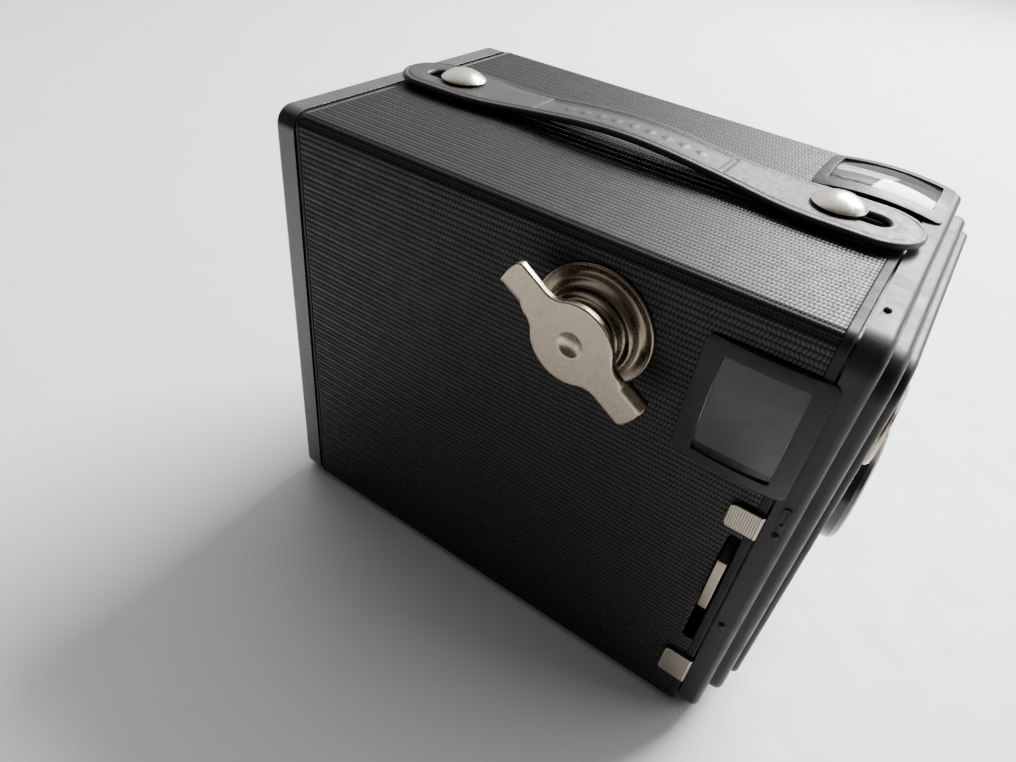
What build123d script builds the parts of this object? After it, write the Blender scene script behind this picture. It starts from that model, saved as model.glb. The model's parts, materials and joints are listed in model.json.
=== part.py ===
from build123d import *
import os
from math import atan2, cos, degrees, radians, sin

# Box camera for 120 roll film, as an assembly of separate pieces.
# Millimetres. +Z is up, -Y is the front (the lens side), -X is the side that carries the winding key.
# The origin is on the ground, at the middle of the body's footprint.

# ---------------------------------------------------------------- driving dimensions
body_width = 76.0
body_height = 102.0
front_face_y = -60.0
rear_face_y = 60.0
front_seam_y = -55.0
rear_seam_y = 54.3
seam_half_gap = 0.4
rear_seam_half_gap = 0.3
corner_r = 3.0
wrap_t = 0.6
shell_t = 0.8
front_bead_w = 1.8
rear_bead_w = 1.0
bead_edge_r = 0.35

lens_z = 51.0
finder_x = 23.2
finder_y = -46.2
finder_z = 82.0
finder_frame_long = 24.5
finder_frame_short = 20.5
window_long = 19.8
window_short = 14.0

spool_y = -16.7
take_up_z = 86.0
supply_z = 16.2
spool_length = 65.0
spool_flange_r = 12.5
spool_core_r = 6.0

film_gate_width = 57.0
film_gate_height = 85.0
film_plane_y = 52.8

key_flange_r = 11.6
key_outer_x = -46.0
key_plate_t = 1.6
key_disc_r = 7.8
key_reach = 16.0
key_wing_w = 6.6
key_wing_angle = 32.0

stud_y_front = -42.0
stud_y_rear = 41.5
tripod_y = -41.0

running_fit = 0.05

# ---------------------------------------------------------------- derived dimensions
half_w = body_width / 2
mid_z = body_height / 2
shell_front_y = front_seam_y
cover_back_y = front_seam_y - seam_half_gap
shell_rear_y = rear_seam_y - rear_seam_half_gap
back_front_y = rear_seam_y + rear_seam_half_gap
wrap_front_y = shell_front_y + front_bead_w
wrap_rear_y = shell_rear_y - rear_bead_w
shell_out_w = body_width - 2 * wrap_t
shell_out_h = body_height - 2 * wrap_t
shell_in_w = shell_out_w - 2 * shell_t
shell_in_h = shell_out_h - 2 * shell_t
shell_in_x = shell_in_w / 2
shell_in_r = corner_r - wrap_t - shell_t


def front_view(y):
    """Plane across the camera at depth y: local axes are X and Z, extrusion runs towards the front."""
    return Plane.XZ.offset(-y)


def side_view(x):
    """Plane along the camera at x: local axes are Y and Z, extrusion runs towards +X."""
    return Plane.YZ.offset(x)


def top_view(z):
    """Level plane at height z: local axes are X and Y, extrusion runs up."""
    return Plane.XY.offset(z)


def ring_outline(width, height, radius, wall, inner_radius):
    """Rounded rectangular band about the middle of the body, for use inside a BuildSketch."""
    with Locations((0, mid_z)):
        RectangleRounded(width, height, radius)
        RectangleRounded(width - 2 * wall, height - 2 * wall, inner_radius, mode=Mode.SUBTRACT)


def rod_x(y, z, radius, x_from, x_to, mode=Mode.ADD):
    """Round rod along X between two x values, for use inside a BuildPart."""
    with BuildSketch(side_view(x_from)) as profile:
        with Locations((y, z)):
            Circle(radius)
    extrude(profile.sketch, amount=x_to - x_from, mode=mode)


def rod_y(x, z, radius, y_front, y_rear, mode=Mode.ADD):
    """Round rod along Y between two y values, for use inside a BuildPart."""
    with BuildSketch(front_view(y_rear)) as profile:
        with Locations((x, z)):
            Circle(radius)
    extrude(profile.sketch, amount=y_rear - y_front, mode=mode)


def rod_z(x, y, radius, z_from, z_to, mode=Mode.ADD):
    """Round rod along Z between two z values, for use inside a BuildPart."""
    with BuildSketch(top_view(z_from)) as profile:
        with Locations((x, y)):
            Circle(radius)
    extrude(profile.sketch, amount=z_to - z_from, mode=mode)


def plate_y(x_min, x_max, z_min, z_max, y_front, y_rear, mode=Mode.ADD):
    """Flat plate facing the front, for use inside a BuildPart."""
    with BuildSketch(front_view(y_rear)) as profile:
        with Locations(((x_min + x_max) / 2, (z_min + z_max) / 2)):
            Rectangle(x_max - x_min, z_max - z_min)
    extrude(profile.sketch, amount=y_rear - y_front, mode=mode)


def plate_x(y_min, y_max, z_min, z_max, x_from, x_to, mode=Mode.ADD):
    """Flat plate facing the side, for use inside a BuildPart."""
    with BuildSketch(side_view(x_from)) as profile:
        with Locations(((y_min + y_max) / 2, (z_min + z_max) / 2)):
            Rectangle(y_max - y_min, z_max - z_min)
    extrude(profile.sketch, amount=x_to - x_from, mode=mode)


def dome_arc(radius, crown, rim):
    """Half profile of a spherical cap: from the crown on the axis to the rim at the given radius."""
    rise = rim - crown
    ball_r = (radius ** 2 + rise ** 2) / (2 * abs(rise))
    half = radius / 2
    drop = ball_r - (ball_r ** 2 - half ** 2) ** 0.5
    ThreePointArc((0, crown), (half, crown + drop * rise / abs(rise)), (radius, rim))


os.makedirs("parts", exist_ok=True)


def finish(piece, name):
    """Label a finished piece and write it as its own file."""
    piece.part.label = name
    export_step(piece.part, f"parts/{name}.step")


# ================================================================ body
window_well_margin = 0.9
lever_slot_low = 24.5
lever_slot_high = 57.0
lever_slot_rear_y = -50.8
key_hole_r = 8.0
tripod_body_r = 5.0
tripod_flange_r = 6.2
stud_shank_r = 2.0
key_wall_clear = 0.05
aperture_tab = (59.3, 65.0)
time_tab = (11.0, 19.0)
slide_front_y = -55.25
slide_rear_y = -54.75
slide_play = 0.3
slide_notch_y = -54.6


def wall_openings(key_r, tripod_r):
    """Cut the holes that the shell and its covering share."""
    rod_x(spool_y, take_up_z, key_r, -half_w - 1, -half_w + 4, mode=Mode.SUBTRACT)
    plate_x(wrap_front_y, lever_slot_rear_y, lever_slot_low, lever_slot_high, -half_w - 1, -half_w + 4,
            mode=Mode.SUBTRACT)
    well_half_short = window_short / 2 + window_well_margin
    well_half_long = window_long / 2 + window_well_margin
    plate_x(finder_y - well_half_short, finder_y + well_half_short, finder_z - well_half_long,
            finder_z + well_half_long, -half_w - 1, -half_w + 4, mode=Mode.SUBTRACT)
    plate_y(finder_x - well_half_short, finder_x + well_half_short, body_height - 4, body_height + 1,
            finder_y - well_half_long, finder_y + well_half_long, mode=Mode.SUBTRACT)
    for stud_y in (stud_y_front, stud_y_rear):
        rod_z(0, stud_y, stud_shank_r, body_height - 4, body_height + 1, mode=Mode.SUBTRACT)
    rod_z(0, tripod_y, tripod_r, -1, 4, mode=Mode.SUBTRACT)
    rod_x(tripod_y, lens_z, tripod_r, half_w - 4, half_w + 1, mode=Mode.SUBTRACT)


with BuildPart() as body_shell:
    # smooth beads standing level with the covering at both ends, their edges rounded
    for bead_rear_y, bead_w in ((wrap_front_y, front_bead_w), (shell_rear_y, rear_bead_w)):
        with BuildSketch(front_view(bead_rear_y)):
            with Locations((0, mid_z)):
                RectangleRounded(body_width, body_height, corner_r)
        extrude(amount=bead_w)
    fillet(body_shell.edges().filter_by(Axis.Y, reverse=True), bead_edge_r)
    # sheet-metal tube under the covering
    with BuildSketch(front_view(shell_rear_y)):
        with Locations((0, mid_z)):
            RectangleRounded(shell_out_w, shell_out_h, corner_r - wrap_t)
    extrude(amount=shell_rear_y - shell_front_y)
    with BuildSketch(front_view(shell_rear_y)):
        with Locations((0, mid_z)):
            RectangleRounded(shell_in_w, shell_in_h, shell_in_r)
    extrude(amount=shell_rear_y - shell_front_y, mode=Mode.SUBTRACT)
    wall_openings(key_hole_r, tripod_body_r)
    # notches in the front edge, where the two slides come out on the key side
    for tab_low, tab_high in (aperture_tab, time_tab):
        plate_x(shell_front_y - 1, slide_notch_y, tab_low - slide_play, tab_high + slide_play,
                -half_w - 1, -half_w + 4, mode=Mode.SUBTRACT)
finish(body_shell, "body_shell")

with BuildPart() as leatherette_wrap:
    with BuildSketch(front_view(wrap_rear_y)):
        ring_outline(body_width, body_height, corner_r, wrap_t, corner_r - wrap_t)
    extrude(amount=wrap_rear_y - wrap_front_y)
    wall_openings(key_hole_r, tripod_flange_r)
finish(leatherette_wrap, "leatherette_wrap")

# ================================================================ front cover and lens
cover_t = 0.8
cover_corner_r = 6.0
cover_edge_r = 1.4
moulding_front_y = -62.6
moulding_w = 71.0
moulding_h = 93.0
moulding_z = 52.5
moulding_corner_r = 7.0
skirt_rear_y = -53.4
skirt_t = 0.6
skirt_play = 0.15
skirt_w = shell_in_w - 2 * skirt_play
skirt_h = shell_in_h - 2 * skirt_play
skirt_r = 3.0
lens_hole_r = 11.0
objective_hole_r = 6.2
front_panel_back_y = moulding_front_y + cover_t


with BuildPart() as front_cover:
    with BuildSketch(front_view(cover_back_y)):
        with Locations((0, mid_z)):
            RectangleRounded(body_width, body_height, cover_corner_r)
    extrude(amount=cover_back_y - front_face_y)
    fillet(front_cover.edges().group_by(Axis.Y)[0], cover_edge_r)
    # raised moulding, standing on the front face
    with BuildSketch(front_view(front_face_y + 0.5)):
        with Locations((0, moulding_z)):
            RectangleRounded(moulding_w, moulding_h, moulding_corner_r)
    extrude(amount=front_face_y + 0.5 - moulding_front_y)
    fillet(front_cover.edges().group_by(Axis.Y)[0], cover_edge_r)
    # hollow behind both
    with BuildSketch(front_view(cover_back_y)):
        with Locations((0, mid_z)):
            RectangleRounded(body_width - 2 * cover_t, body_height - 2 * cover_t, cover_corner_r - cover_t)
    extrude(amount=cover_back_y - front_face_y - cover_t, mode=Mode.SUBTRACT)
    with BuildSketch(front_view(cover_back_y)):
        with Locations((0, moulding_z)):
            RectangleRounded(moulding_w - 2 * cover_t, moulding_h - 2 * cover_t, moulding_corner_r - cover_t)
    extrude(amount=cover_back_y - front_panel_back_y, mode=Mode.SUBTRACT)
    # ledge that turns inwards at the seam, and the skirt that enters the shell
    with BuildSketch(front_view(cover_back_y)):
        with Locations((0, mid_z)):
            RectangleRounded(body_width - cover_t, body_height - cover_t, cover_corner_r - cover_t / 2)
            RectangleRounded(skirt_w - 2 * skirt_t, skirt_h - 2 * skirt_t, skirt_r - skirt_t, mode=Mode.SUBTRACT)
    extrude(amount=cover_t)
    with BuildSketch(front_view(skirt_rear_y)):
        ring_outline(skirt_w, skirt_h, skirt_r, skirt_t, skirt_r - skirt_t)
    extrude(amount=skirt_rear_y - cover_back_y + cover_t)
    # gaps in the skirt where the two slides come out on the key side
    for tab_low, tab_high in (aperture_tab, time_tab):
        plate_y(-shell_in_x - 0.2, -shell_in_x + 2, tab_low - slide_play, tab_high + slide_play,
                cover_back_y, skirt_rear_y + 0.1, mode=Mode.SUBTRACT)
    rod_y(0, lens_z, lens_hole_r, -66, -58, mode=Mode.SUBTRACT)
    for objective_x in (-finder_x, finder_x):
        rod_y(objective_x, finder_z, objective_hole_r, -66, -58, mode=Mode.SUBTRACT)
    # notch below the portrait finder's frame, which reaches over the seam
    plate_y(finder_x - window_short / 2 - window_well_margin, finder_x + window_short / 2 + window_well_margin,
            body_height - 2.3, body_height + 1, finder_y - window_long / 2 - window_well_margin, -50,
            mode=Mode.SUBTRACT)
    # small pressed index marks on the side band and the top band
    with BuildSketch(side_view(-half_w - 0.3)):
        with Locations((-57.7, 66.6)):
            SlotOverall(4.4, 1.4, rotation=90)
            SlotOverall(3.6, 0.6, rotation=90, mode=Mode.SUBTRACT)
    extrude(amount=0.5)
    with Locations((-half_w, -57.7, 61.9), (-half_w, -56.9, 33.6), (-26.3, -56.9, body_height)):
        Sphere(0.65)
finish(front_cover, "front_cover")

plate_front_y = -64.0
plate_top_z = 97.0
plate_low_z = 8.5
plate_lens_hole_r = 13.0
plate_objective_hole_r = 7.0
with BuildPart() as front_plate:
    with BuildSketch(front_view(moulding_front_y)) as plate_outline:
        with BuildLine():
            Polyline((-30.5, plate_low_z), (30.5, plate_low_z), (33.0, plate_top_z), (-33.0, plate_top_z),
                     close=True)
        make_face()
        fillet(plate_outline.vertices(), 6.0)
    extrude(amount=moulding_front_y - plate_front_y)
    fillet(front_plate.edges().group_by(Axis.Y)[0], 0.9)
    # lowered field below the finders, with the lens ring's seat left standing
    with BuildSketch(front_view(plate_front_y + 0.5)):
        with Locations((0, 40.0)):
            RectangleRounded(50.0, 52.0, 5.0)
        with Locations((0, lens_z)):
            Circle(19.0, mode=Mode.SUBTRACT)
    extrude(amount=1.0, mode=Mode.SUBTRACT)
    rod_y(0, lens_z, plate_lens_hole_r, -66, -60, mode=Mode.SUBTRACT)
    for objective_x in (-finder_x, finder_x):
        rod_y(objective_x, finder_z, plate_objective_hole_r, -66, -60, mode=Mode.SUBTRACT)
finish(front_plate, "front_plate")

lens_axis = Axis((0, 0, lens_z), (0, 1, 0))
lens_section = Plane.XY.offset(lens_z)
with BuildPart() as lens_ring:
    # radius against depth, turned about the lens axis
    with BuildSketch(lens_section):
        with BuildLine():
            Polyline((8.7, -61.4), (10.9, -61.4), (10.9, moulding_front_y), (12.9, moulding_front_y),
                     (12.9, plate_front_y), (13.8, plate_front_y), (13.8, -67.0), (13.1, -67.9),
                     (12.2, -68.3), (11.0, -68.3), (10.2, -67.7), (9.4, -67.7), (7.6, -66.8),
                     (7.6, -66.2), (8.7, -66.2), close=True)
        make_face()
    revolve(axis=lens_axis)
finish(lens_ring, "lens_ring")

lens_front_y = -67.0
lens_edge_front_y = -66.1
lens_hollow_y = -65.15
lens_edge_rear_y = -64.2
lens_edge_r = 7.5
with BuildPart() as taking_lens:
    # meniscus, bulging forwards
    with BuildSketch(lens_section):
        with BuildLine():
            dome_arc(lens_edge_r, lens_front_y, lens_edge_front_y)
            Polyline((lens_edge_r, lens_edge_front_y), (8.6, lens_edge_front_y), (8.6, lens_edge_rear_y),
                     (lens_edge_r, lens_edge_rear_y))
            dome_arc(lens_edge_r, lens_hollow_y, lens_edge_rear_y)
            Line((0, lens_hollow_y), (0, lens_front_y))
        make_face()
    revolve(axis=lens_axis)
finish(taking_lens, "taking_lens")

with BuildPart() as lens_retainer:
    rod_y(0, lens_z, 8.65, -64.15, -62.4)
    rod_y(0, lens_z, 7.3, -65, -62, mode=Mode.SUBTRACT)
finish(lens_retainer, "lens_retainer")

# ================================================================ shutter plate, slides and lever
shutter_front_y = -54.6
shutter_rear_y = -53.8
lever_pivot = (-10.0, 44.0)
disc_pivot = (9.0, 43.0)
pivot_r = 1.2
pivot_bore_r = pivot_r + running_fit
post_places = ((-31.0, 36.5), (32.0, 66.0), (31.5, 13.0), (4.5, 13.0))
post_r = 2.4
screw_r = 1.0
screw_hole_r = 1.05

with BuildPart() as shutter_plate:
    plate_y(-35.4, 35.4, 3.0, 70.0, shutter_front_y, shutter_rear_y)
    fillet(shutter_plate.edges().filter_by(Axis.Y), 2.0)
    rod_y(0, lens_z, 6.5, -56, -52, mode=Mode.SUBTRACT)
    for pin_x, pin_z in (lever_pivot, disc_pivot):
        rod_y(pin_x, pin_z, pivot_r, -56, -52, mode=Mode.SUBTRACT)
    for post_x, post_z in post_places:
        rod_y(post_x, post_z, screw_hole_r, -56, -52, mode=Mode.SUBTRACT)
finish(shutter_plate, "shutter_plate")

with BuildPart() as plate_posts:
    for post_x, post_z in post_places:
        rod_y(post_x, post_z, post_r, front_panel_back_y, shutter_front_y)
        rod_y(post_x, post_z, screw_hole_r, shutter_front_y - 5, shutter_front_y + 1, mode=Mode.SUBTRACT)
finish(plate_posts, "plate_posts")

with BuildPart() as plate_screws:
    for post_x, post_z in post_places:
        rod_y(post_x, post_z, screw_r, shutter_front_y - 4, shutter_rear_y)
        rod_y(post_x, post_z, 2.1, shutter_rear_y, shutter_rear_y + 0.7)
        plate_y(post_x - 2.5, post_x + 2.5, post_z - 0.25, post_z + 0.25, shutter_rear_y + 0.4,
                shutter_rear_y + 1, mode=Mode.SUBTRACT)
finish(plate_screws, "plate_screws")

tab_out_x = -38.9
tab_in_x = -38.2
tab_rear_y = -49.1


def pull_tab(tab_low, tab_high, neck_end_x):
    """Neck that passes the seam and the finger tab bent back along the side of the body."""
    plate_y(tab_out_x, neck_end_x, tab_low, tab_high, slide_front_y, slide_rear_y)
    plate_x(slide_front_y, tab_rear_y, tab_low, tab_high, tab_out_x, tab_in_x)


aperture_low, aperture_high = 43.0, 66.0
aperture_neck_end_x = -15.0
aperture_end_x = 27.0
stop_step = 10.0
full_stop_r = 4.3
small_stop_r = 2.8
time_low, time_high = 8.0, 30.0
time_neck_end_x = -20.0
time_end_x = -3.0

with BuildPart() as aperture_slide:
    pull_tab(*aperture_tab, aperture_neck_end_x + 1)
    plate_y(aperture_neck_end_x, aperture_end_x, aperture_low, aperture_high, slide_front_y, slide_rear_y)
    for step, stop_r in enumerate((full_stop_r, small_stop_r, full_stop_r)):
        rod_y(step * stop_step, lens_z, stop_r, -56, -54, mode=Mode.SUBTRACT)
    tab_corners = aperture_slide.edges().filter_by(Axis.X).group_by(Axis.Y)[-1]
    fillet(tab_corners, 1.2)
    fillet(aperture_slide.edges().filter_by(Axis.Z).sort_by(Axis.X)[0], 0.4)
finish(aperture_slide, "aperture_slide")

with BuildPart() as yellow_filter:
    rod_y(2 * stop_step, lens_z, 5.4, slide_front_y - 0.4, slide_front_y)
finish(yellow_filter, "yellow_filter")

with BuildPart() as time_slide:
    pull_tab(*time_tab, time_neck_end_x + 1)
    plate_y(time_neck_end_x, time_end_x, time_low, time_high, slide_front_y, slide_rear_y)
    tab_corners = time_slide.edges().filter_by(Axis.X).group_by(Axis.Y)[-1]
    fillet(tab_corners, 1.2)
    fillet(time_slide.edges().filter_by(Axis.Z).sort_by(Axis.X)[0], 0.4)
finish(time_slide, "time_slide")

guide_w = 1.5
guide_gap = 0.1
guide_lip = 1.3
guide_lip_front_y = -55.9
with BuildPart() as slide_guides:
    # an L-section rail above and below each slide
    for x_min, x_max, z_low, z_high in ((-28.0, 28.0, aperture_low, aperture_high),
                                        (-28.0, 0.0, time_low, time_high)):
        low_edge = z_low - guide_gap
        high_edge = z_high + guide_gap
        plate_y(x_min, x_max, low_edge - guide_w, low_edge, guide_lip_front_y, shutter_front_y)
        plate_y(x_min, x_max, low_edge - guide_w, low_edge + guide_lip, guide_lip_front_y, slide_front_y - 0.1)
        plate_y(x_min, x_max, high_edge, high_edge + guide_w, guide_lip_front_y, shutter_front_y)
        plate_y(x_min, x_max, high_edge - guide_lip, high_edge + guide_w, guide_lip_front_y,
                slide_front_y - 0.1)
finish(slide_guides, "slide_guides")

lever_front_y = -52.9
lever_rear_y = -51.1
lever_reach = 30.4
lever_finger_t = 1.6
lever_finger_start = 166.3
lever_finger_sweep = 26.4
lever_hub_r = 3.2
with BuildPart() as release_lever:
    with BuildSketch(front_view(lever_rear_y)):
        # finger piece: a short arc about the pivot, standing out of its slot
        with BuildLine():
            outer = CenterArc(lever_pivot, lever_reach, lever_finger_start, lever_finger_sweep)
            inner = CenterArc(lever_pivot, lever_reach - lever_finger_t, lever_finger_start,
                              lever_finger_sweep)
            Line(outer @ 0, inner @ 0)
            Line(outer @ 1, inner @ 1)
        make_face()
        # arm from the hub to the upper part of the finger piece
        with BuildLine():
            arm_top = outer @ 0.01
            arm_low = outer @ 0.3
            Polyline(arm_top, (lever_pivot[0], lever_pivot[1] + 2.6), (lever_pivot[0], lever_pivot[1] - 2.6),
                     arm_low, close=True)
        make_face()
        with Locations(lever_pivot):
            Circle(lever_hub_r)
            Circle(pivot_bore_r, mode=Mode.SUBTRACT)
    extrude(amount=lever_rear_y - lever_front_y)
finish(release_lever, "release_lever")

disc_front_y = -53.6
disc_rear_y = -53.1
disc_r = 17.0
disc_lead_angle = 45.65
disc_slot_angle = degrees(atan2(lens_z - disc_pivot[1], -disc_pivot[0])) - disc_lead_angle
disc_slot_half = 24.0
with BuildPart() as shutter_disc:
    with BuildSketch(front_view(disc_rear_y)):
        with Locations(disc_pivot):
            Circle(disc_r)
            Circle(pivot_bore_r, mode=Mode.SUBTRACT)
        # notch that passes the light, open at the rim
        with BuildLine():
            notch = CenterArc(disc_pivot, disc_r + 1, disc_slot_angle - disc_slot_half, 2 * disc_slot_half)
            root = CenterArc(disc_pivot, 7.2, disc_slot_angle - disc_slot_half, 2 * disc_slot_half)
            Line(notch @ 0, root @ 0)
            Line(notch @ 1, root @ 1)
        make_face(mode=Mode.SUBTRACT)
    extrude(amount=disc_rear_y - disc_front_y)
finish(shutter_disc, "shutter_disc")

lever_pin_rear_y = -47.2
disc_pin_rear_y = -51.8
clip_t = 0.5
with BuildPart() as mechanism_pins:
    for (pin_x, pin_z), pin_rear_y in ((lever_pivot, lever_pin_rear_y), (disc_pivot, disc_pin_rear_y)):
        rod_y(pin_x, pin_z, pivot_r, shutter_front_y, pin_rear_y)
        rod_y(pin_x, pin_z, pivot_r + 0.9, shutter_rear_y, disc_front_y - 0.05)
finish(mechanism_pins, "mechanism_pins")

with BuildPart() as pivot_clips:
    for (pin_x, pin_z), pin_rear_y in ((lever_pivot, lever_pin_rear_y), (disc_pivot, disc_pin_rear_y)):
        rod_y(pin_x, pin_z, 2.5, pin_rear_y - clip_t - 0.2, pin_rear_y - 0.2)
        rod_y(pin_x, pin_z, pivot_r, pin_rear_y - 2, pin_rear_y + 1, mode=Mode.SUBTRACT)
finish(pivot_clips, "pivot_clips")

spring_wire_r = 0.22
spring_coil_r = 2.2
spring_pitch = 0.6
spring_height = 1.8
spring_leg = 7.0
spring_front_y = -50.4
with BuildPart() as return_spring:
    with BuildLine() as coil_path:
        Helix(spring_pitch, spring_height, spring_coil_r,
              center=(lever_pivot[0], spring_front_y, lever_pivot[1]), direction=(0, 1, 0))
    with BuildSketch(Plane(origin=coil_path.line @ 0, z_dir=coil_path.line % 0)):
        Circle(spring_wire_r)
    sweep(path=coil_path.line)
    # straight legs leaving the coil at both ends
    for end, way in ((0, -1), (1, 1)):
        leg_dir = (coil_path.line % end) * way
        with BuildSketch(Plane(origin=coil_path.line @ end, z_dir=leg_dir)):
            Circle(spring_wire_r)
        extrude(amount=spring_leg)
finish(return_spring, "return_spring")

# ================================================================ finders
frame_height = 2.4
frame_dome_r = 60.0
glass_height = 2.3
glass_dome_r = 45.0
glass_flange = 0.7
glass_flange_low = -0.8
housing_t = 0.6
finder_front = -13.0
mirror_t = 1.0

# outward planes on the two finder windows: local x is the short side, local y the long side
landscape_face = Plane(origin=(-half_w, finder_y, finder_z), x_dir=(0, 1, 0), z_dir=(-1, 0, 0))
portrait_face = Plane(origin=(finder_x, finder_y, body_height), x_dir=(1, 0, 0), z_dir=(0, 0, 1))
# section planes through the mirror centres: local x runs out to the window, local y runs to the rear
landscape_section = Plane(origin=(-finder_x, finder_y, finder_z), x_dir=(-1, 0, 0), z_dir=(0, 0, -1))
portrait_section = Plane(origin=(finder_x, finder_y, finder_z), x_dir=(0, 0, 1), z_dir=(-1, 0, 0))

for finder, face, section, reach, half_span in (
        ("landscape", landscape_face, landscape_section, 12.3, 10.6),
        ("portrait", portrait_face, portrait_section, 17.4, 8.6)):
    with BuildPart() as finder_frame:
        with BuildSketch(face):
            RectangleRounded(finder_frame_short, finder_frame_long, 1.3)
        extrude(amount=frame_height)
        with Locations(face.offset(frame_height - frame_dome_r)):
            Sphere(frame_dome_r, mode=Mode.INTERSECT)
        with BuildSketch(face):
            RectangleRounded(window_short, window_long, 0.5)
        extrude(amount=frame_height + 1, mode=Mode.SUBTRACT)
    finish(finder_frame, finder + "_finder_frame")

    with BuildPart() as finder_window:
        # domed glass with a flange that the frame holds down
        with BuildSketch(face.offset(glass_flange_low)):
            RectangleRounded(window_short + 2 * glass_flange, window_long + 2 * glass_flange, 1.2)
        extrude(amount=-glass_flange_low - running_fit)
        with BuildSketch(face.offset(glass_flange_low)):
            RectangleRounded(window_short - 0.2, window_long - 0.2, 0.4)
        extrude(amount=glass_height - glass_flange_low)
        with Locations(face.offset(glass_height - glass_dome_r)):
            Sphere(glass_dome_r, mode=Mode.INTERSECT)
    finish(finder_window, finder + "_window")

    with BuildPart() as finder_housing:
        # box with a slanting back, open towards the window, with a snout round the objective
        with BuildSketch(section):
            with BuildLine():
                Polyline((reach, finder_front), (-9.0, finder_front), (-9.0, -6.6), (9.0, 11.4),
                         (reach, 11.4), close=True)
            make_face()
        extrude(amount=half_span, both=True)
        with BuildSketch(section):
            with BuildLine():
                Polyline((reach + 1, finder_front + housing_t), (-9.0 + housing_t, finder_front + housing_t),
                         (-9.0 + housing_t, -6.9), (9.3, 10.8), (reach + 1, 10.8), close=True)
            make_face()
        extrude(amount=half_span - housing_t, both=True, mode=Mode.SUBTRACT)
        objective_x = section.origin.X
        rod_y(objective_x, finder_z, 7.2, front_panel_back_y, finder_y + finder_front + 0.1)
        rod_y(objective_x, finder_z, 6.2, front_panel_back_y - 1, finder_y + finder_front + 2,
              mode=Mode.SUBTRACT)
    finish(finder_housing, finder + "_housing")

    with BuildPart() as finder_mirror:
        back_step = mirror_t * sin(radians(45))
        with BuildSketch(section):
            with BuildLine():
                Polyline((-7.6, -7.6), (9.2, 9.2), (9.2 - back_step, 9.2 + back_step),
                         (-7.6 - back_step, -7.6 + back_step), close=True)
            make_face()
        extrude(amount=half_span - housing_t - 0.1, both=True)
    finish(finder_mirror, finder + "_mirror")

    with BuildPart() as objective:
        # plano-convex lens, bulging forwards
        with BuildSketch(Plane(origin=(objective_x, 0, finder_z), x_dir=(1, 0, 0), z_dir=(0, 0, 1))):
            with BuildLine():
                dome_arc(5.5, -64.3, -63.2)
                Polyline((5.5, -63.2), (6.1, -63.2), (6.1, -61.9), (0, -61.9), (0, -64.3))
            make_face()
        revolve(axis=Axis((objective_x, 0, finder_z), (0, 1, 0)))
    finish(objective, finder + "_objective")

with BuildPart() as objective_rings:
    for objective_x in (-finder_x, finder_x):
        with BuildSketch(Plane(origin=(objective_x, 0, finder_z), x_dir=(1, 0, 0), z_dir=(0, 0, 1))):
            with BuildLine():
                Polyline((5.6, -63.25), (6.25, -63.25), (6.25, -62.65), (6.95, -62.65), (6.95, -64.0),
                         (7.7, -64.0), (7.7, -64.5), (7.2, -65.0), (6.4, -65.0), (5.6, -64.4), close=True)
            make_face()
        revolve(axis=Axis((objective_x, 0, finder_z), (0, 1, 0)))
finish(objective_rings, "objective_rings")

# ================================================================ film insert
insert_t = 0.8
insert_in_x = 33.2
insert_out_x = insert_in_x + insert_t
insert_front_y = -31.0
insert_low_z = 3.0
insert_high_z = 99.0
gate_front_y = film_plane_y - insert_t
cone_throat = 24.0
cone_t = 0.6
roller_r = 2.2
roller_y = film_plane_y - roller_r
roller_low_z = 5.0
roller_high_z = body_height - roller_low_z
axle_r = 1.0
pin_r = 2.5
pin_bore_r = pin_r + running_fit
shaft_window_r = 5.0

with BuildPart() as insert_frame:
    # folded sheet: front wall and two side walls
    plate_y(-insert_out_x, insert_out_x, insert_low_z, insert_high_z, insert_front_y, insert_front_y + insert_t)
    for x_from in (-insert_out_x, insert_in_x):
        plate_x(insert_front_y, gate_front_y, insert_low_z, insert_high_z, x_from, x_from + insert_t)
    fillet(insert_frame.edges().filter_by(Axis.Z).group_by(Axis.Y)[0], 0.7)
    plate_y(-cone_throat / 2 + 1, cone_throat / 2 - 1, lens_z - cone_throat / 2 + 1,
            lens_z + cone_throat / 2 - 1, insert_front_y - 1, insert_front_y + 2, mode=Mode.SUBTRACT)
    rod_x(spool_y, take_up_z, shaft_window_r, -insert_out_x - 1, -insert_in_x + 1, mode=Mode.SUBTRACT)
    rod_x(spool_y, take_up_z, pin_r, insert_in_x - 1, insert_out_x + 1, mode=Mode.SUBTRACT)
    rod_x(spool_y, supply_z, pin_r, -insert_out_x - 1, insert_out_x + 1, mode=Mode.SUBTRACT)
    for axle_z in (roller_low_z, roller_high_z):
        rod_x(roller_y, axle_z, axle_r, -insert_out_x - 1, insert_out_x + 1, mode=Mode.SUBTRACT)
finish(insert_frame, "insert_frame")

with BuildPart() as light_cone:
    cone_front_y = insert_front_y + insert_t
    for grow, mode in ((cone_t, Mode.ADD), (0.0, Mode.SUBTRACT)):
        with BuildSketch(front_view(cone_front_y)):
            with Locations((0, lens_z)):
                Rectangle(cone_throat + 2 * grow, cone_throat + 2 * grow)
        with BuildSketch(front_view(gate_front_y)):
            with Locations((0, lens_z)):
                Rectangle(film_gate_width + 2 * grow, film_gate_height + 2 * grow)
        loft(mode=mode)
finish(light_cone, "light_cone")

with BuildPart() as film_gate:
    plate_y(-shell_in_x + 1.3, shell_in_x - 1.3, 7.6, body_height - 7.6, gate_front_y, film_plane_y)
    plate_y(-film_gate_width / 2, film_gate_width / 2, lens_z - film_gate_height / 2,
            lens_z + film_gate_height / 2, gate_front_y - 1, film_plane_y + 1, mode=Mode.SUBTRACT)
    fillet(film_gate.edges().filter_by(Axis.Y).group_by(Axis.X)[0], 2.0)
    fillet(film_gate.edges().filter_by(Axis.Y).group_by(Axis.X)[-1], 2.0)
finish(film_gate, "film_gate")

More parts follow.
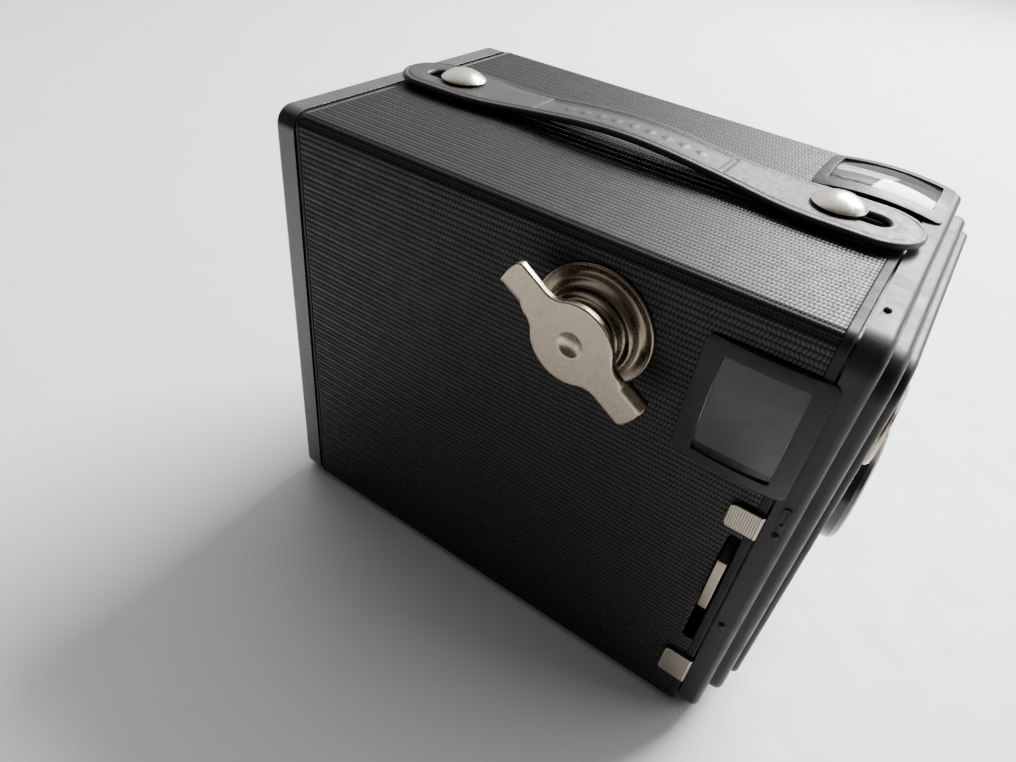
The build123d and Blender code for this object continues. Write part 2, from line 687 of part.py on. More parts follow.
for roller_name, roller_z in (("lower_roller", roller_low_z), ("upper_roller", roller_high_z)):
    with BuildPart() as roller:
        rod_x(roller_y, roller_z, roller_r, -insert_in_x + 0.2, insert_in_x - 0.2)
        rod_x(roller_y, roller_z, axle_r + running_fit, -insert_out_x, insert_out_x, mode=Mode.SUBTRACT)
    finish(roller, roller_name)

with BuildPart() as roller_axles:
    for roller_z in (roller_low_z, roller_high_z):
        rod_x(roller_y, roller_z, axle_r, -insert_out_x - 0.4, insert_out_x + 0.4)
finish(roller_axles, "roller_axles")

with BuildPart() as supply_pins:
    for side in (-1, 1):
        rod_x(spool_y, supply_z, pin_r, min(side * 30.2, side * 34.0), max(side * 30.2, side * 34.0))
        rod_x(spool_y, supply_z, 4.0, min(side * 34.0, side * 34.8), max(side * 34.0, side * 34.8))
finish(supply_pins, "supply_pins")

with BuildPart() as take_up_pivot:
    rod_x(spool_y, take_up_z, pin_r, 29.0, insert_out_x)
    rod_x(spool_y, take_up_z, 4.0, insert_out_x, insert_out_x + 0.8)
finish(take_up_pivot, "take_up_pivot")

with BuildPart() as brake_spring:
    # bowed leaf that rubs on the film roll, fixed to the insert's front wall
    leaf_front_y = insert_front_y + insert_t
    with BuildSketch(side_view(-8.0)):
        with BuildLine():
            ThreePointArc((leaf_front_y, 6.0), (leaf_front_y + 0.5, supply_z), (leaf_front_y, 26.4))
            Line((leaf_front_y, 26.4), (leaf_front_y + 0.3, 26.4))
            ThreePointArc((leaf_front_y + 0.3, 26.4), (leaf_front_y + 0.8, supply_z), (leaf_front_y + 0.3, 6.0))
            Line((leaf_front_y + 0.3, 6.0), (leaf_front_y, 6.0))
        make_face()
    extrude(amount=16.0)
finish(brake_spring, "brake_spring")

# ---------------------------------------------------------------- take-up spool
flange_t = 0.6
half_spool = spool_length / 2
slot_long = 9.0
slot_wide = 1.6
slot_depth = 4.0

with BuildPart() as take_up_core:
    core_end = half_spool - flange_t
    rod_x(spool_y, take_up_z, spool_core_r, -core_end, core_end)
    rod_x(spool_y, take_up_z, pin_bore_r, core_end - 5, core_end + 1, mode=Mode.SUBTRACT)
    plate_x(spool_y - slot_wide / 2, spool_y + slot_wide / 2, take_up_z - slot_long / 2,
            take_up_z + slot_long / 2, -core_end - 1, -core_end + slot_depth, mode=Mode.SUBTRACT)
finish(take_up_core, "take_up_core")

with BuildPart() as take_up_flanges:
    rod_x(spool_y, take_up_z, spool_flange_r, -half_spool, -half_spool + flange_t)
    plate_x(spool_y - slot_wide / 2, spool_y + slot_wide / 2, take_up_z - slot_long / 2,
            take_up_z + slot_long / 2, -half_spool - 1, -half_spool + 2, mode=Mode.SUBTRACT)
    rod_x(spool_y, take_up_z, spool_flange_r, half_spool - flange_t, half_spool)
    rod_x(spool_y, take_up_z, pin_bore_r, half_spool - 1, half_spool + 1, mode=Mode.SUBTRACT)
finish(take_up_flanges, "take_up_flanges")

# ================================================================ winding key
key_axis = Axis((0, spool_y, take_up_z), (1, 0, 0))
key_section = Plane(origin=(0, spool_y, take_up_z), x_dir=(1, 0, 0), z_dir=(0, -1, 0))
bush_body_r = key_hole_r - key_wall_clear
bush_inner_x = -35.6
sleeve_r = 4.2 - running_fit
square = 3.6
square_bore = 3.72
blade_long = 8.0
blade_wide = 1.4
blade_x = -34.0
blade_tip_x = -30.9
key_inner_x = key_outer_x + key_plate_t

with BuildPart() as key_bush:
    # stepped collar: distance along the axis against radius
    with BuildSketch(key_section):
        with BuildLine():
            Polyline((bush_inner_x, 5.25), (bush_inner_x, bush_body_r), (-half_w, bush_body_r),
                     (-half_w, key_flange_r), (-38.5, key_flange_r), (-38.7, 11.3), (-38.5, 10.7),
                     (-38.7, 9.8), (-39.4, 9.25), (-40.4, 8.8), (-40.7, 8.2), (-40.7, 7.5), (-41.2, 6.95),
                     (-42.4, 6.6), (-42.6, 6.3), (-42.6, 4.2),
                     (-41.0, 4.2), (-41.0, 5.25), close=True)
        make_face()
    revolve(axis=key_axis)
finish(key_bush, "key_bush")

with BuildPart() as key_bush_nut:
    with BuildSketch(side_view(-shell_in_x)):
        with Locations((spool_y, take_up_z)):
            RegularPolygon(10.4, 6)
            Circle(bush_body_r, mode=Mode.SUBTRACT)
    extrude(amount=bush_inner_x + shell_in_x)
finish(key_bush_nut, "key_bush_nut")

with BuildPart() as key_sleeve:
    rod_x(spool_y, take_up_z, sleeve_r, -42.8, -40.8)
    rod_x(spool_y, take_up_z, 5.2, -40.9, -39.3)
    rod_x(spool_y, take_up_z, 5.6, -43.5, -42.7)
    plate_x(spool_y - square_bore / 2, spool_y + square_bore / 2, take_up_z - square_bore / 2,
            take_up_z + square_bore / 2, -44, -39, mode=Mode.SUBTRACT)
finish(key_sleeve, "key_sleeve")

key_fillet_r = 4.0
shaft_sink = 1.1
fold_from = 10.6
fold_to = key_reach - 0.4
fold_depth = 1.8
fold_t = 1.0
with BuildPart() as winding_key:
    # disc with two wings, seen from the key side: local x is +Y, local y is +Z
    with BuildSketch(side_view(key_outer_x)) as key_outline:
        with Locations((spool_y, take_up_z)):
            Circle(key_disc_r)
            Rectangle(2 * key_reach, key_wing_w, rotation=key_wing_angle)
        by_distance = key_outline.vertices().sort_by_distance((spool_y, take_up_z, 0))
        fillet(by_distance[:4], key_fillet_r)
        by_distance = key_outline.vertices().sort_by_distance((spool_y, take_up_z, 0))
        fillet(by_distance[-4:], 0.8)
    extrude(amount=key_plate_t)
    # one long edge of each wing is folded over towards the body
    for turn in (0, 180):
        angle = radians(key_wing_angle + turn)
        along = (fold_from + fold_to) / 2
        across = fold_t / 2 - key_wing_w / 2
        fold_y = spool_y + along * cos(angle) - across * sin(angle)
        fold_z = take_up_z + along * sin(angle) + across * cos(angle)
        with BuildSketch(side_view(key_outer_x + key_plate_t / 2)):
            with Locations((fold_y, fold_z)):
                Rectangle(fold_to - fold_from, fold_t, rotation=key_wing_angle)
        extrude(amount=fold_depth)
    fillet(winding_key.edges().group_by(Axis.X)[0], 0.35)
    rod_x(spool_y, take_up_z, 1.8, key_outer_x - 1, key_inner_x + 1, mode=Mode.SUBTRACT)
finish(winding_key, "winding_key")

with BuildPart() as key_shaft:
    rod_x(spool_y, take_up_z, 1.8, key_outer_x + shaft_sink, key_inner_x)
    rod_x(spool_y, take_up_z, 3.4, key_inner_x, key_inner_x + 0.6)
    plate_x(spool_y - square / 2, spool_y + square / 2, take_up_z - square / 2, take_up_z + square / 2,
            key_inner_x + 0.6, blade_x)
    plate_x(spool_y - blade_wide / 2, spool_y + blade_wide / 2, take_up_z - blade_long / 2,
            take_up_z + blade_long / 2, blade_x, blade_tip_x)
finish(key_shaft, "key_shaft")

# ================================================================ strap
strap_low_z = 103.0
strap_t = 1.4
strap_rise = 2.5
strap_front_y = -57.5
strap_rear_y = 56.5
strap_end_w = 17.0
strap_mid_w = 12.5
strap_mid_y = (strap_front_y + strap_rear_y) / 2
lobe_y = (strap_rear_y - strap_front_y) / 2 - strap_end_w / 2
arch_y = 36.0
waist_y = 20.0
slot_half_w = 2.6

with BuildPart() as strap:
    # gently arched band, seen from the side
    with BuildSketch(side_view(-strap_end_w / 2)):
        with BuildLine():
            for level in (strap_low_z, strap_low_z + strap_t):
                Line((strap_front_y, level), (strap_mid_y - arch_y, level))
                Spline((strap_mid_y - arch_y, level), (strap_mid_y, level + strap_rise),
                       (strap_mid_y + arch_y, level), tangents=((1, 0), (1, 0)))
                Line((strap_mid_y + arch_y, level), (strap_rear_y, level))
            Line((strap_front_y, strap_low_z), (strap_front_y, strap_low_z + strap_t))
            Line((strap_rear_y, strap_low_z), (strap_rear_y, strap_low_z + strap_t))
        make_face()
    extrude(amount=strap_end_w)
    # outline from above: round lobes at the ends, a narrower waist
    with BuildSketch(top_view(strap_low_z - 1)):
        with Locations((0, strap_mid_y - lobe_y), (0, strap_mid_y + lobe_y)):
            Circle(strap_end_w / 2)
        with BuildLine():
            for side in (-1, 1):
                wide = side * strap_end_w / 2
                narrow = side * strap_mid_w / 2
                Line((wide, strap_mid_y - lobe_y), (wide, strap_mid_y - lobe_y + 8))
                Spline((wide, strap_mid_y - lobe_y + 8), (narrow, strap_mid_y - waist_y),
                       tangents=((0, 1), (0, 1)))
                Line((narrow, strap_mid_y - waist_y), (narrow, strap_mid_y + waist_y))
                Spline((narrow, strap_mid_y + waist_y), (wide, strap_mid_y + lobe_y - 8),
                       tangents=((0, 1), (0, 1)))
                Line((wide, strap_mid_y + lobe_y - 8), (wide, strap_mid_y + lobe_y))
            Line((-strap_end_w / 2, strap_mid_y - lobe_y), (strap_end_w / 2, strap_mid_y - lobe_y))
            Line((-strap_end_w / 2, strap_mid_y + lobe_y), (strap_end_w / 2, strap_mid_y + lobe_y))
        make_face()
    extrude(amount=strap_t + strap_rise + 3, mode=Mode.INTERSECT)
    # slots that let the ends slide out past the studs
    for slot_from, slot_to in ((-51.2, stud_y_front + slot_half_w), (stud_y_rear - slot_half_w, 50.6)):
        with BuildSketch(top_view(strap_low_z - 1)):
            with Locations((0, (slot_from + slot_to) / 2)):
                SlotOverall(slot_to - slot_from, 2 * slot_half_w, rotation=90)
        extrude(amount=strap_t + 4, mode=Mode.SUBTRACT)
finish(strap, "strap")

stud_head_r = 5.0
stud_head_low_z = 104.6
stud_head_rim_z = 105.0
stud_head_top_z = 107.0
shell_in_top_z = mid_z + shell_in_h / 2
stud_foot_z = shell_in_top_z - 0.9
with BuildPart() as strap_studs:
    for stud_y in (stud_y_front, stud_y_rear):
        rod_z(0, stud_y, stud_shank_r, stud_foot_z, stud_head_low_z)
        rod_z(0, stud_y, 2.4, body_height, stud_head_low_z)
        with BuildSketch(Plane(origin=(0, stud_y, 0), x_dir=(1, 0, 0), z_dir=(0, -1, 0))):
            with BuildLine():
                Polyline((0, stud_head_top_z), (0, stud_head_low_z), (4.6, stud_head_low_z),
                         (stud_head_r, stud_head_rim_z))
                dome_arc(stud_head_r, stud_head_top_z, stud_head_rim_z)
            make_face()
        revolve(axis=Axis((0, stud_y, 0), (0, 0, 1)))
finish(strap_studs, "strap_studs")

with BuildPart() as stud_washers:
    for stud_y in (stud_y_front, stud_y_rear):
        rod_z(0, stud_y, 4.0, stud_foot_z + 0.2, shell_in_top_z)
        rod_z(0, stud_y, stud_shank_r, stud_foot_z - 1, shell_in_top_z + 1, mode=Mode.SUBTRACT)
finish(stud_washers, "stud_washers")

# ================================================================ tripod bushes
thread_r = 2.7
thread_depth = 5.5
bush_depth = 6.3
inside_flange_t = 0.8
wall_t = wrap_t + shell_t
for bush_name, mouth in (
        ("tripod_bush_bottom", Plane(origin=(0, tripod_y, 0), x_dir=(1, 0, 0), z_dir=(0, 0, 1))),
        ("tripod_bush_side", Plane(origin=(half_w, tripod_y, lens_z), x_dir=(0, 1, 0), z_dir=(-1, 0, 0)))):
    with BuildPart() as tripod_bush:
        with BuildSketch(mouth):
            Circle(tripod_flange_r - 0.05)
        extrude(amount=wrap_t)
        with BuildSketch(mouth):
            Circle(tripod_body_r - 0.05)
        extrude(amount=bush_depth)
        with BuildSketch(mouth.offset(wall_t)):
            Circle(tripod_flange_r)
        extrude(amount=inside_flange_t)
        with BuildSketch(mouth):
            Circle(thread_r)
        extrude(amount=thread_depth, mode=Mode.SUBTRACT)
    finish(tripod_bush, bush_name)

# ================================================================ back
back_t = 0.8
back_corner_r = 4.0
back_skirt_front_y = 50.0
back_skirt_play = 0.3
back_skirt_w = shell_in_w - 2 * back_skirt_play
back_skirt_h = shell_in_h - 2 * back_skirt_play
back_skirt_t = 0.6
catch_low_z = 46.0
catch_high_z = 56.0
red_x = 20.0
red_hole_r = 6.0

with BuildPart() as back_cover:
    with BuildSketch(front_view(rear_face_y)):
        with Locations((0, mid_z)):
            RectangleRounded(body_width, body_height, back_corner_r)
    extrude(amount=rear_face_y - back_front_y)
    fillet(back_cover.edges().group_by(Axis.Y)[-1], 1.2)
    with BuildSketch(front_view(rear_face_y - back_t)):
        with Locations((0, mid_z)):
            RectangleRounded(body_width - 2 * back_t, body_height - 2 * back_t, back_corner_r - back_t)
    extrude(amount=rear_face_y - back_t - back_front_y, mode=Mode.SUBTRACT)
    # ledge at the seam and the skirt that enters the shell
    with BuildSketch(front_view(back_front_y + back_t)):
        with Locations((0, mid_z)):
            RectangleRounded(body_width - back_t, body_height - back_t, back_corner_r - back_t / 2)
            RectangleRounded(back_skirt_w - 2 * back_skirt_t, back_skirt_h - 2 * back_skirt_t, 1.6,
                             mode=Mode.SUBTRACT)
    extrude(amount=back_t)
    with BuildSketch(front_view(back_front_y + back_t / 2)):
        ring_outline(back_skirt_w, back_skirt_h, 2.2, back_skirt_t, 1.6)
    extrude(amount=back_front_y + back_t / 2 - back_skirt_front_y)
    # no skirt on the hinge side, where it would sweep into the film insert
    plate_y(back_skirt_w / 2 - 2, half_w, -1, body_height + 1, back_skirt_front_y - 1, back_front_y,
            mode=Mode.SUBTRACT)
    # gap for the catch spring
    plate_y(-half_w, -back_skirt_w / 2 + 2, catch_low_z, catch_high_z, back_skirt_front_y - 1, back_front_y,
            mode=Mode.SUBTRACT)
    rod_y(red_x, lens_z, red_hole_r, rear_face_y - 2, rear_face_y + 1, mode=Mode.SUBTRACT)
finish(back_cover, "back_cover")

back_panel_t = 0.5
with BuildPart() as back_panel:
    with BuildSketch(front_view(rear_face_y + back_panel_t)):
        with Locations((0, mid_z)):
            RectangleRounded(body_width - 9, body_height - 9, 4.0)
        with Locations((red_x, lens_z)):
            Circle(7.6, mode=Mode.SUBTRACT)
    extrude(amount=back_panel_t)
finish(back_panel, "back_panel")

with BuildPart() as red_window:
    rod_y(red_x, lens_z, 7.4, rear_face_y - back_t - 0.5, rear_face_y - back_t)
finish(red_window, "red_window")

with BuildPart() as red_window_ring:
    with BuildSketch(Plane(origin=(red_x, 0, lens_z), x_dir=(1, 0, 0), z_dir=(0, 0, 1))):
        with BuildLine():
            Polyline((5.2, rear_face_y - back_t), (5.95, rear_face_y - back_t), (5.95, rear_face_y),
                     (7.5, rear_face_y), (7.5, rear_face_y + 0.4), (7.0, rear_face_y + 0.8),
                     (5.8, rear_face_y + 0.8), (5.2, rear_face_y + 0.4), close=True)
        make_face()
    revolve(axis=Axis((red_x, 0, lens_z), (0, 1, 0)))
finish(red_window_ring, "red_window_ring")

with BuildPart() as catch_spring:
    plate_x(38.0, 53.6, catch_low_z + 1, catch_high_z - 1, -shell_in_x, -shell_in_x + 0.35)
    rod_z(-shell_in_x + 0.35, 51.8, 0.8, catch_low_z + 1, catch_high_z - 1)
    plate_x(50.0, 53.6, catch_low_z, catch_high_z, -shell_in_x - 2, -shell_in_x, mode=Mode.SUBTRACT)
finish(catch_spring, "catch_spring")

# ---------------------------------------------------------------- hinge on the far side
hinge_x = 39.4
hinge_y = rear_seam_y
knuckle_r = 1.3
hinge_pin_r = 0.7
leaf_t = 0.7
leaf_low_z = 21.0
knuckle_l = 12.0
knuckle_gap = 0.1
knuckle_count = 5
leaf_high_z = leaf_low_z + knuckle_count * knuckle_l
bridge_x = half_w + 0.1


def knuckles(first, bridge_from_y, bridge_to_y):
    """Every second knuckle of the hinge, joined to its leaf."""
    for index in range(first, knuckle_count, 2):
        z_from = leaf_low_z + index * knuckle_l + knuckle_gap
        z_to = leaf_low_z + (index + 1) * knuckle_l - knuckle_gap
        rod_z(hinge_x, hinge_y, knuckle_r, z_from, z_to)
        plate_x(bridge_from_y, bridge_to_y, z_from, z_to, bridge_x, bridge_x + leaf_t - 0.1)
    rod_z(hinge_x, hinge_y, hinge_pin_r + running_fit, leaf_low_z - 1, leaf_high_z + 1, mode=Mode.SUBTRACT)


with BuildPart() as hinge_leaf_body:
    plate_x(44.0, 52.9, leaf_low_z, leaf_high_z, half_w, half_w + leaf_t)
    knuckles(0, 52.8, hinge_y)
finish(hinge_leaf_body, "hinge_leaf_body")

with BuildPart() as hinge_leaf_back:
    plate_x(55.7, 59.0, leaf_low_z, leaf_high_z, half_w - 0.4, half_w + leaf_t)
    plate_x(54.0, 61.0, leaf_low_z - 1, leaf_high_z + 1, half_w - 2, half_w, mode=Mode.SUBTRACT)
    knuckles(1, hinge_y, 55.8)
finish(hinge_leaf_back, "hinge_leaf_back")

with BuildPart() as hinge_pin:
    rod_z(hinge_x, hinge_y, hinge_pin_r, leaf_low_z - 0.4, leaf_high_z + 0.4)
finish(hinge_pin, "hinge_pin")

rivet_r = 1.1
with BuildPart() as hinge_rivets:
    for rivet_z in (27.0, 43.0, 59.0, 75.0):
        rod_x(48.4, rivet_z, rivet_r, half_w + leaf_t, half_w + leaf_t + 0.35)
    fillet(hinge_rivets.edges().group_by(Axis.X)[-1], 0.25)
finish(hinge_rivets, "hinge_rivets")
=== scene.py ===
import json
from math import cos, pi, radians, sin

import bpy
import numpy as np
from mathutils import Matrix, Vector


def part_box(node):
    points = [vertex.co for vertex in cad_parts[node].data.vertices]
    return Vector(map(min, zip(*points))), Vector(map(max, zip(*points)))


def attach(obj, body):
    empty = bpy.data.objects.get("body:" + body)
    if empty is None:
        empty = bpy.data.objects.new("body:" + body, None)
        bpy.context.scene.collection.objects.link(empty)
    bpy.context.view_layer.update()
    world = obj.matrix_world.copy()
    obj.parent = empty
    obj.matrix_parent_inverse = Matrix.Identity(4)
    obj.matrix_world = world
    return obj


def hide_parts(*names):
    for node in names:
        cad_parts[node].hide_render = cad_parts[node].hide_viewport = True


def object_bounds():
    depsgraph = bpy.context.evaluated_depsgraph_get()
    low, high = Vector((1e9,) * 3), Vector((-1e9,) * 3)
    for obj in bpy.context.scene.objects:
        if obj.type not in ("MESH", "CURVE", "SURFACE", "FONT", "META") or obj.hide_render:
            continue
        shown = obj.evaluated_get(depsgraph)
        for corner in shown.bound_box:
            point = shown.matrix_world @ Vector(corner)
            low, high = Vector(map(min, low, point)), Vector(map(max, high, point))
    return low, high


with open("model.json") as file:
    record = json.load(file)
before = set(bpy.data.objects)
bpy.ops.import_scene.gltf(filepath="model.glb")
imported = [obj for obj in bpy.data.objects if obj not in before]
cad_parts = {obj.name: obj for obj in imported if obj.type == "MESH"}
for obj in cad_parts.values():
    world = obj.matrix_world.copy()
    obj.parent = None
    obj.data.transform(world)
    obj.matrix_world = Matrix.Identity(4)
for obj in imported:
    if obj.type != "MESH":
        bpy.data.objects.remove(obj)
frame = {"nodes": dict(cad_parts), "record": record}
cad_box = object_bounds()
nodes = frame["nodes"]
MM = 0.001


def box_mm(node):
    """Lowest and highest corner of a CAD node in millimetres."""
    low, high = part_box(node)
    return np.array(low) / MM, np.array(high) / MM


def middle_mm(node):
    """Middle of a CAD node's box in millimetres."""
    low, high = box_mm(node)
    return (low + high) / 2


# ================================================================ shader recipes
class Recipe:
    """A material whose nodes are added one by one. Lengths are given in millimetres of the object."""

    def __init__(self, name, **surface):
        self.material = bpy.data.materials.new(name)
        self.material.use_nodes = True
        self.tree = self.material.node_tree
        self.tree.nodes.clear()
        self.output = self.tree.nodes.new("ShaderNodeOutputMaterial")
        self.shader = self.tree.nodes.new("ShaderNodeBsdfPrincipled")
        self.wire(self.shader.outputs[0], self.output.inputs["Surface"])
        self.place = self.tree.nodes.new("ShaderNodeTexCoord").outputs["Object"]
        self.normal = None
        for key, value in surface.items():
            self.put(key.replace("_", " "), value)

    def wire(self, source, target):
        self.tree.links.new(source, target)

    def feed(self, target, value):
        """Sets a socket to a constant, or wires another socket into it. Colours may come without alpha."""
        if isinstance(value, bpy.types.NodeSocket):
            self.wire(value, target)
        elif target.type == "RGBA" and len(value) == 3:
            target.default_value = (*value, 1.0)
        else:
            target.default_value = value

    def put(self, name, value):
        """Sets an input of the surface shader."""
        self.feed(self.shader.inputs[name], value)

    def math(self, kind, a, b=0.0):
        node = self.tree.nodes.new("ShaderNodeMath")
        node.operation = kind
        self.feed(node.inputs[0], a)
        self.feed(node.inputs[1], b)
        return node.outputs[0]

    def noise(self, size, detail=3.0, roughness=0.55, stretch=(1, 1, 1)):
        """Noise whose features are about size mm across, longer by stretch along x, y and z."""
        place = self.tree.nodes.new("ShaderNodeMapping")
        place.inputs["Scale"].default_value = [1 / s for s in stretch]
        self.wire(self.place, place.inputs["Vector"])
        node = self.tree.nodes.new("ShaderNodeTexNoise")
        node.inputs["Scale"].default_value = 1 / (size * MM)
        node.inputs["Detail"].default_value = detail
        node.inputs["Roughness"].default_value = roughness
        self.wire(place.outputs[0], node.inputs["Vector"])
        return node.outputs["Fac"]

    def cells(self, size):
        """Distance to the nearest of scattered points about size mm apart."""
        node = self.tree.nodes.new("ShaderNodeTexVoronoi")
        node.inputs["Scale"].default_value = 1 / (size * MM)
        self.wire(self.place, node.inputs["Vector"])
        return node.outputs["Distance"]

    def span(self, value, low, high, to_low=0.0, to_high=1.0):
        """A soft step that takes the values from low to high over to to_low and to_high."""
        node = self.tree.nodes.new("ShaderNodeMapRange")
        node.interpolation_type = "SMOOTHSTEP"
        limits = {"From Min": low, "From Max": high, "To Min": to_low, "To Max": to_high}
        for key, number in limits.items():
            node.inputs[key].default_value = number
        self.feed(node.inputs["Value"], value)
        return node.outputs["Result"]

    def blend(self, factor, first, second):
        """The first colour where factor is 0, the second where it is 1."""
        node = self.tree.nodes.new("ShaderNodeMix")
        node.data_type = "RGBA"
        self.feed(node.inputs["Factor"], factor)
        self.feed(node.inputs["A"], first)
        self.feed(node.inputs["B"], second)
        return node.outputs["Result"]

    def bump(self, height, depth):
        """Adds a relief depth mm deep to the ones already there."""
        node = self.tree.nodes.new("ShaderNodeBump")
        node.inputs["Distance"].default_value = depth * MM
        self.feed(node.inputs["Height"], height)
        if self.normal is not None:
            self.wire(self.normal, node.inputs["Normal"])
        self.normal = node.outputs["Normal"]
        self.put("Normal", self.normal)

    def edges(self, radius):
        """1 on sharp edges, 0 on flat ground."""
        soft = self.tree.nodes.new("ShaderNodeBevel")
        soft.samples = 6
        soft.inputs["Radius"].default_value = radius * MM
        flat = self.tree.nodes.new("ShaderNodeNewGeometry")
        dot = self.tree.nodes.new("ShaderNodeVectorMath")
        dot.operation = "DOT_PRODUCT"
        self.wire(soft.outputs[0], dot.inputs[0])
        self.wire(flat.outputs["Normal"], dot.inputs[1])
        return self.span(dot.outputs["Value"], 0.995, 0.86)

    def hollows(self, distance):
        """1 in tight corners, 0 in the open."""
        node = self.tree.nodes.new("ShaderNodeAmbientOcclusion")
        node.samples = 6
        node.inputs["Distance"].default_value = distance * MM
        return self.span(node.outputs["AO"], 0.85, 0.35)

    def attribute(self, name):
        """A value stored at the mesh's points."""
        node = self.tree.nodes.new("ShaderNodeAttribute")
        node.attribute_name = name
        return node.outputs["Fac"]


def enamel(name, tone, rough, wear=0.4, gloss=0.5, coat=0.25):
    """Black stoving enamel on sheet steel: faint orange peel, smears, dust and bare metal on worn edges."""
    r = Recipe(name, Specular_IOR_Level=gloss, Coat_Weight=coat, Coat_Roughness=0.12)
    cloud = r.noise(14, 4)
    base = r.blend(cloud, tone, [c * 1.9 + 0.002 for c in tone])
    dust = r.span(r.cells(1.9), 0.05, 0.02, 0, 0.5)
    base = r.blend(dust, base, (0.16, 0.155, 0.145))
    worn = r.math("MULTIPLY", r.edges(0.28), r.span(r.noise(2.2, 5, 0.7), 0.52, 0.66))
    worn = r.math("MULTIPLY", worn, wear)
    r.put("Base Color", r.blend(worn, base, (0.30, 0.27, 0.23)))
    r.put("Metallic", r.math("MULTIPLY", worn, 0.8))
    smear = r.span(r.noise(5, 5, 0.65, (1, 2.5, 1)), 0.35, 0.7, rough - 0.06, rough + 0.12)
    r.put("Roughness", smear)
    r.bump(r.noise(0.9, 2), 0.012)
    r.bump(r.noise(7, 2), 0.05)
    return r.material


def matt_black(name):
    """Dull black paint of the inside parts."""
    r = Recipe(name, Specular_IOR_Level=0.25)
    r.put("Base Color", r.blend(r.noise(5, 4), (0.008, 0.008, 0.008), (0.022, 0.021, 0.02)))
    r.put("Roughness", r.span(r.noise(0.6, 3), 0.3, 0.7, 0.6, 0.85))
    r.bump(r.noise(0.35, 3), 0.03)
    return r.material


def leatherette(name):
    """Embossed black covering: glossy crowns and dull grooves, the grooves coloured darker and the crowns
    lighter as painted shade and sheen, with specks of dust. The herringbone is in the mesh.
    """
    r = Recipe(name, Specular_IOR_Level=0.5)
    crown = r.attribute("relief")
    cloud = r.noise(18, 4, 0.6)
    # painted shade and sheen: the grooves are coloured darker than the crowns
    deep = r.blend(cloud, (0.004, 0.004, 0.004), (0.009, 0.009, 0.009))
    high = r.blend(cloud, (0.007, 0.007, 0.007), (0.015, 0.015, 0.015))
    base = r.blend(r.span(crown, 0.25, 0.9), deep, high)
    dust = r.math("MULTIPLY", r.span(r.noise(0.8, 4, 0.7), 0.58, 0.72), 0.05)
    r.put("Base Color", r.blend(dust, base, (0.25, 0.24, 0.22)))
    r.put("Specular IOR Level", r.span(crown, 0.15, 0.8, 0.14, 0.42))
    shine = r.span(crown, 0.1, 0.95, 0.6, 0.35)
    r.put("Roughness", r.math("ADD", shine, r.span(r.noise(3, 4), 0.3, 0.7, -0.04, 0.08)))
    r.bump(r.noise(0.22, 3, 0.6), 0.02)
    return r.material


def nickel(name, tone=(0.37, 0.32, 0.25), rough=0.27, stain=0.30, grain=0.004):
    """Nickel plate with a warm cast: fine grain, brown spots, tarnish in the hollows and a painted
    highlight along every edge.
    """
    r = Recipe(name, Metallic=1.0)
    spots = r.span(r.noise(3.0, 6, 0.7), 0.5, 0.78)
    shade = r.math("MAXIMUM", r.math("MULTIPLY", spots, stain), r.math("MULTIPLY", r.hollows(1.2), 0.55))
    base = r.blend(shade, tone, (0.16, 0.115, 0.075))
    # painted highlight: every edge is lightened toward bright nickel, whatever the light
    rim = r.math("MULTIPLY", r.edges(0.2), 0.6)
    r.put("Base Color", r.blend(rim, base, (0.66, 0.62, 0.56)))
    speck = r.span(r.noise(0.6, 4, 0.6), 0.3, 0.7, rough - 0.04, rough + 0.06)
    r.put("Roughness", r.math("ADD", speck, r.math("MULTIPLY", shade, 0.15)))
    r.bump(r.noise(0.28, 3, 0.7), grain)
    r.bump(r.noise(4.0, 2), 0.02)
    return r.material


def steel(name, tone=(0.5, 0.5, 0.5), rough=0.38):
    """Plain steel with a drawn grain."""
    r = Recipe(name, Metallic=1.0)
    r.put("Base Color", r.blend(r.noise(2.5, 5), tone, [c * 0.6 for c in tone]))
    r.put("Roughness", r.span(r.noise(0.3, 3, 0.6, (8, 1, 1)), 0.3, 0.7, rough - 0.1, rough + 0.12))
    r.bump(r.noise(0.2, 3, 0.6, (10, 1, 1)), 0.008)
    return r.material


def strap_leather(name):
    """Smooth black strap leather, slightly scuffed where it is handled."""
    r = Recipe(name, Specular_IOR_Level=0.45)
    cloud = r.noise(9, 4, 0.6)
    base = r.blend(cloud, (0.012, 0.012, 0.012), (0.030, 0.029, 0.028))
    scuff = r.math("MULTIPLY", r.span(r.noise(2.4, 6, 0.7, (1, 3, 1)), 0.55, 0.75), 0.35)
    scuff = r.math("MULTIPLY", scuff, r.span(r.attribute("relief"), 0.5, 1.0))
    r.put("Base Color", r.blend(scuff, base, (0.11, 0.105, 0.10)))
    r.put("Roughness", r.span(r.noise(1.4, 4), 0.3, 0.7, 0.42, 0.58))
    r.bump(r.cells(0.42), 0.018)
    r.bump(r.noise(1.8, 3), 0.05)
    return r.material


def glass(name, tint=(0.95, 0.97, 0.96), haze=0.10, index=1.5):
    """Old finder or lens glass: clear, with a film of dust and a few specks."""
    r = Recipe(name, IOR=index, Transmission_Weight=1.0)
    film = r.span(r.noise(4, 5, 0.7), 0.35, 0.75, haze * 0.4, haze)
    speck = r.span(r.cells(1.3), 0.06, 0.02, 0, 0.6)
    r.put("Transmission Weight", r.math("SUBTRACT", 1.0, r.math("MAXIMUM", film, speck)))
    r.put("Base Color", r.blend(speck, tint, (0.6, 0.6, 0.58)))
    r.put("Roughness", r.span(r.noise(2, 4), 0.3, 0.7, 0.01, 0.05))
    return r.material


def silvering(name):
    """Old surface-silvered mirror with dull patches."""
    r = Recipe(name, Metallic=1.0)
    patch = r.span(r.noise(1.6, 6, 0.75), 0.6, 0.75, 0, 0.5)
    r.put("Base Color", r.blend(patch, (0.44, 0.45, 0.45), (0.16, 0.15, 0.14)))
    r.put("Roughness", r.span(r.noise(3, 4), 0.3, 0.7, 0.02, 0.08))
    return r.material


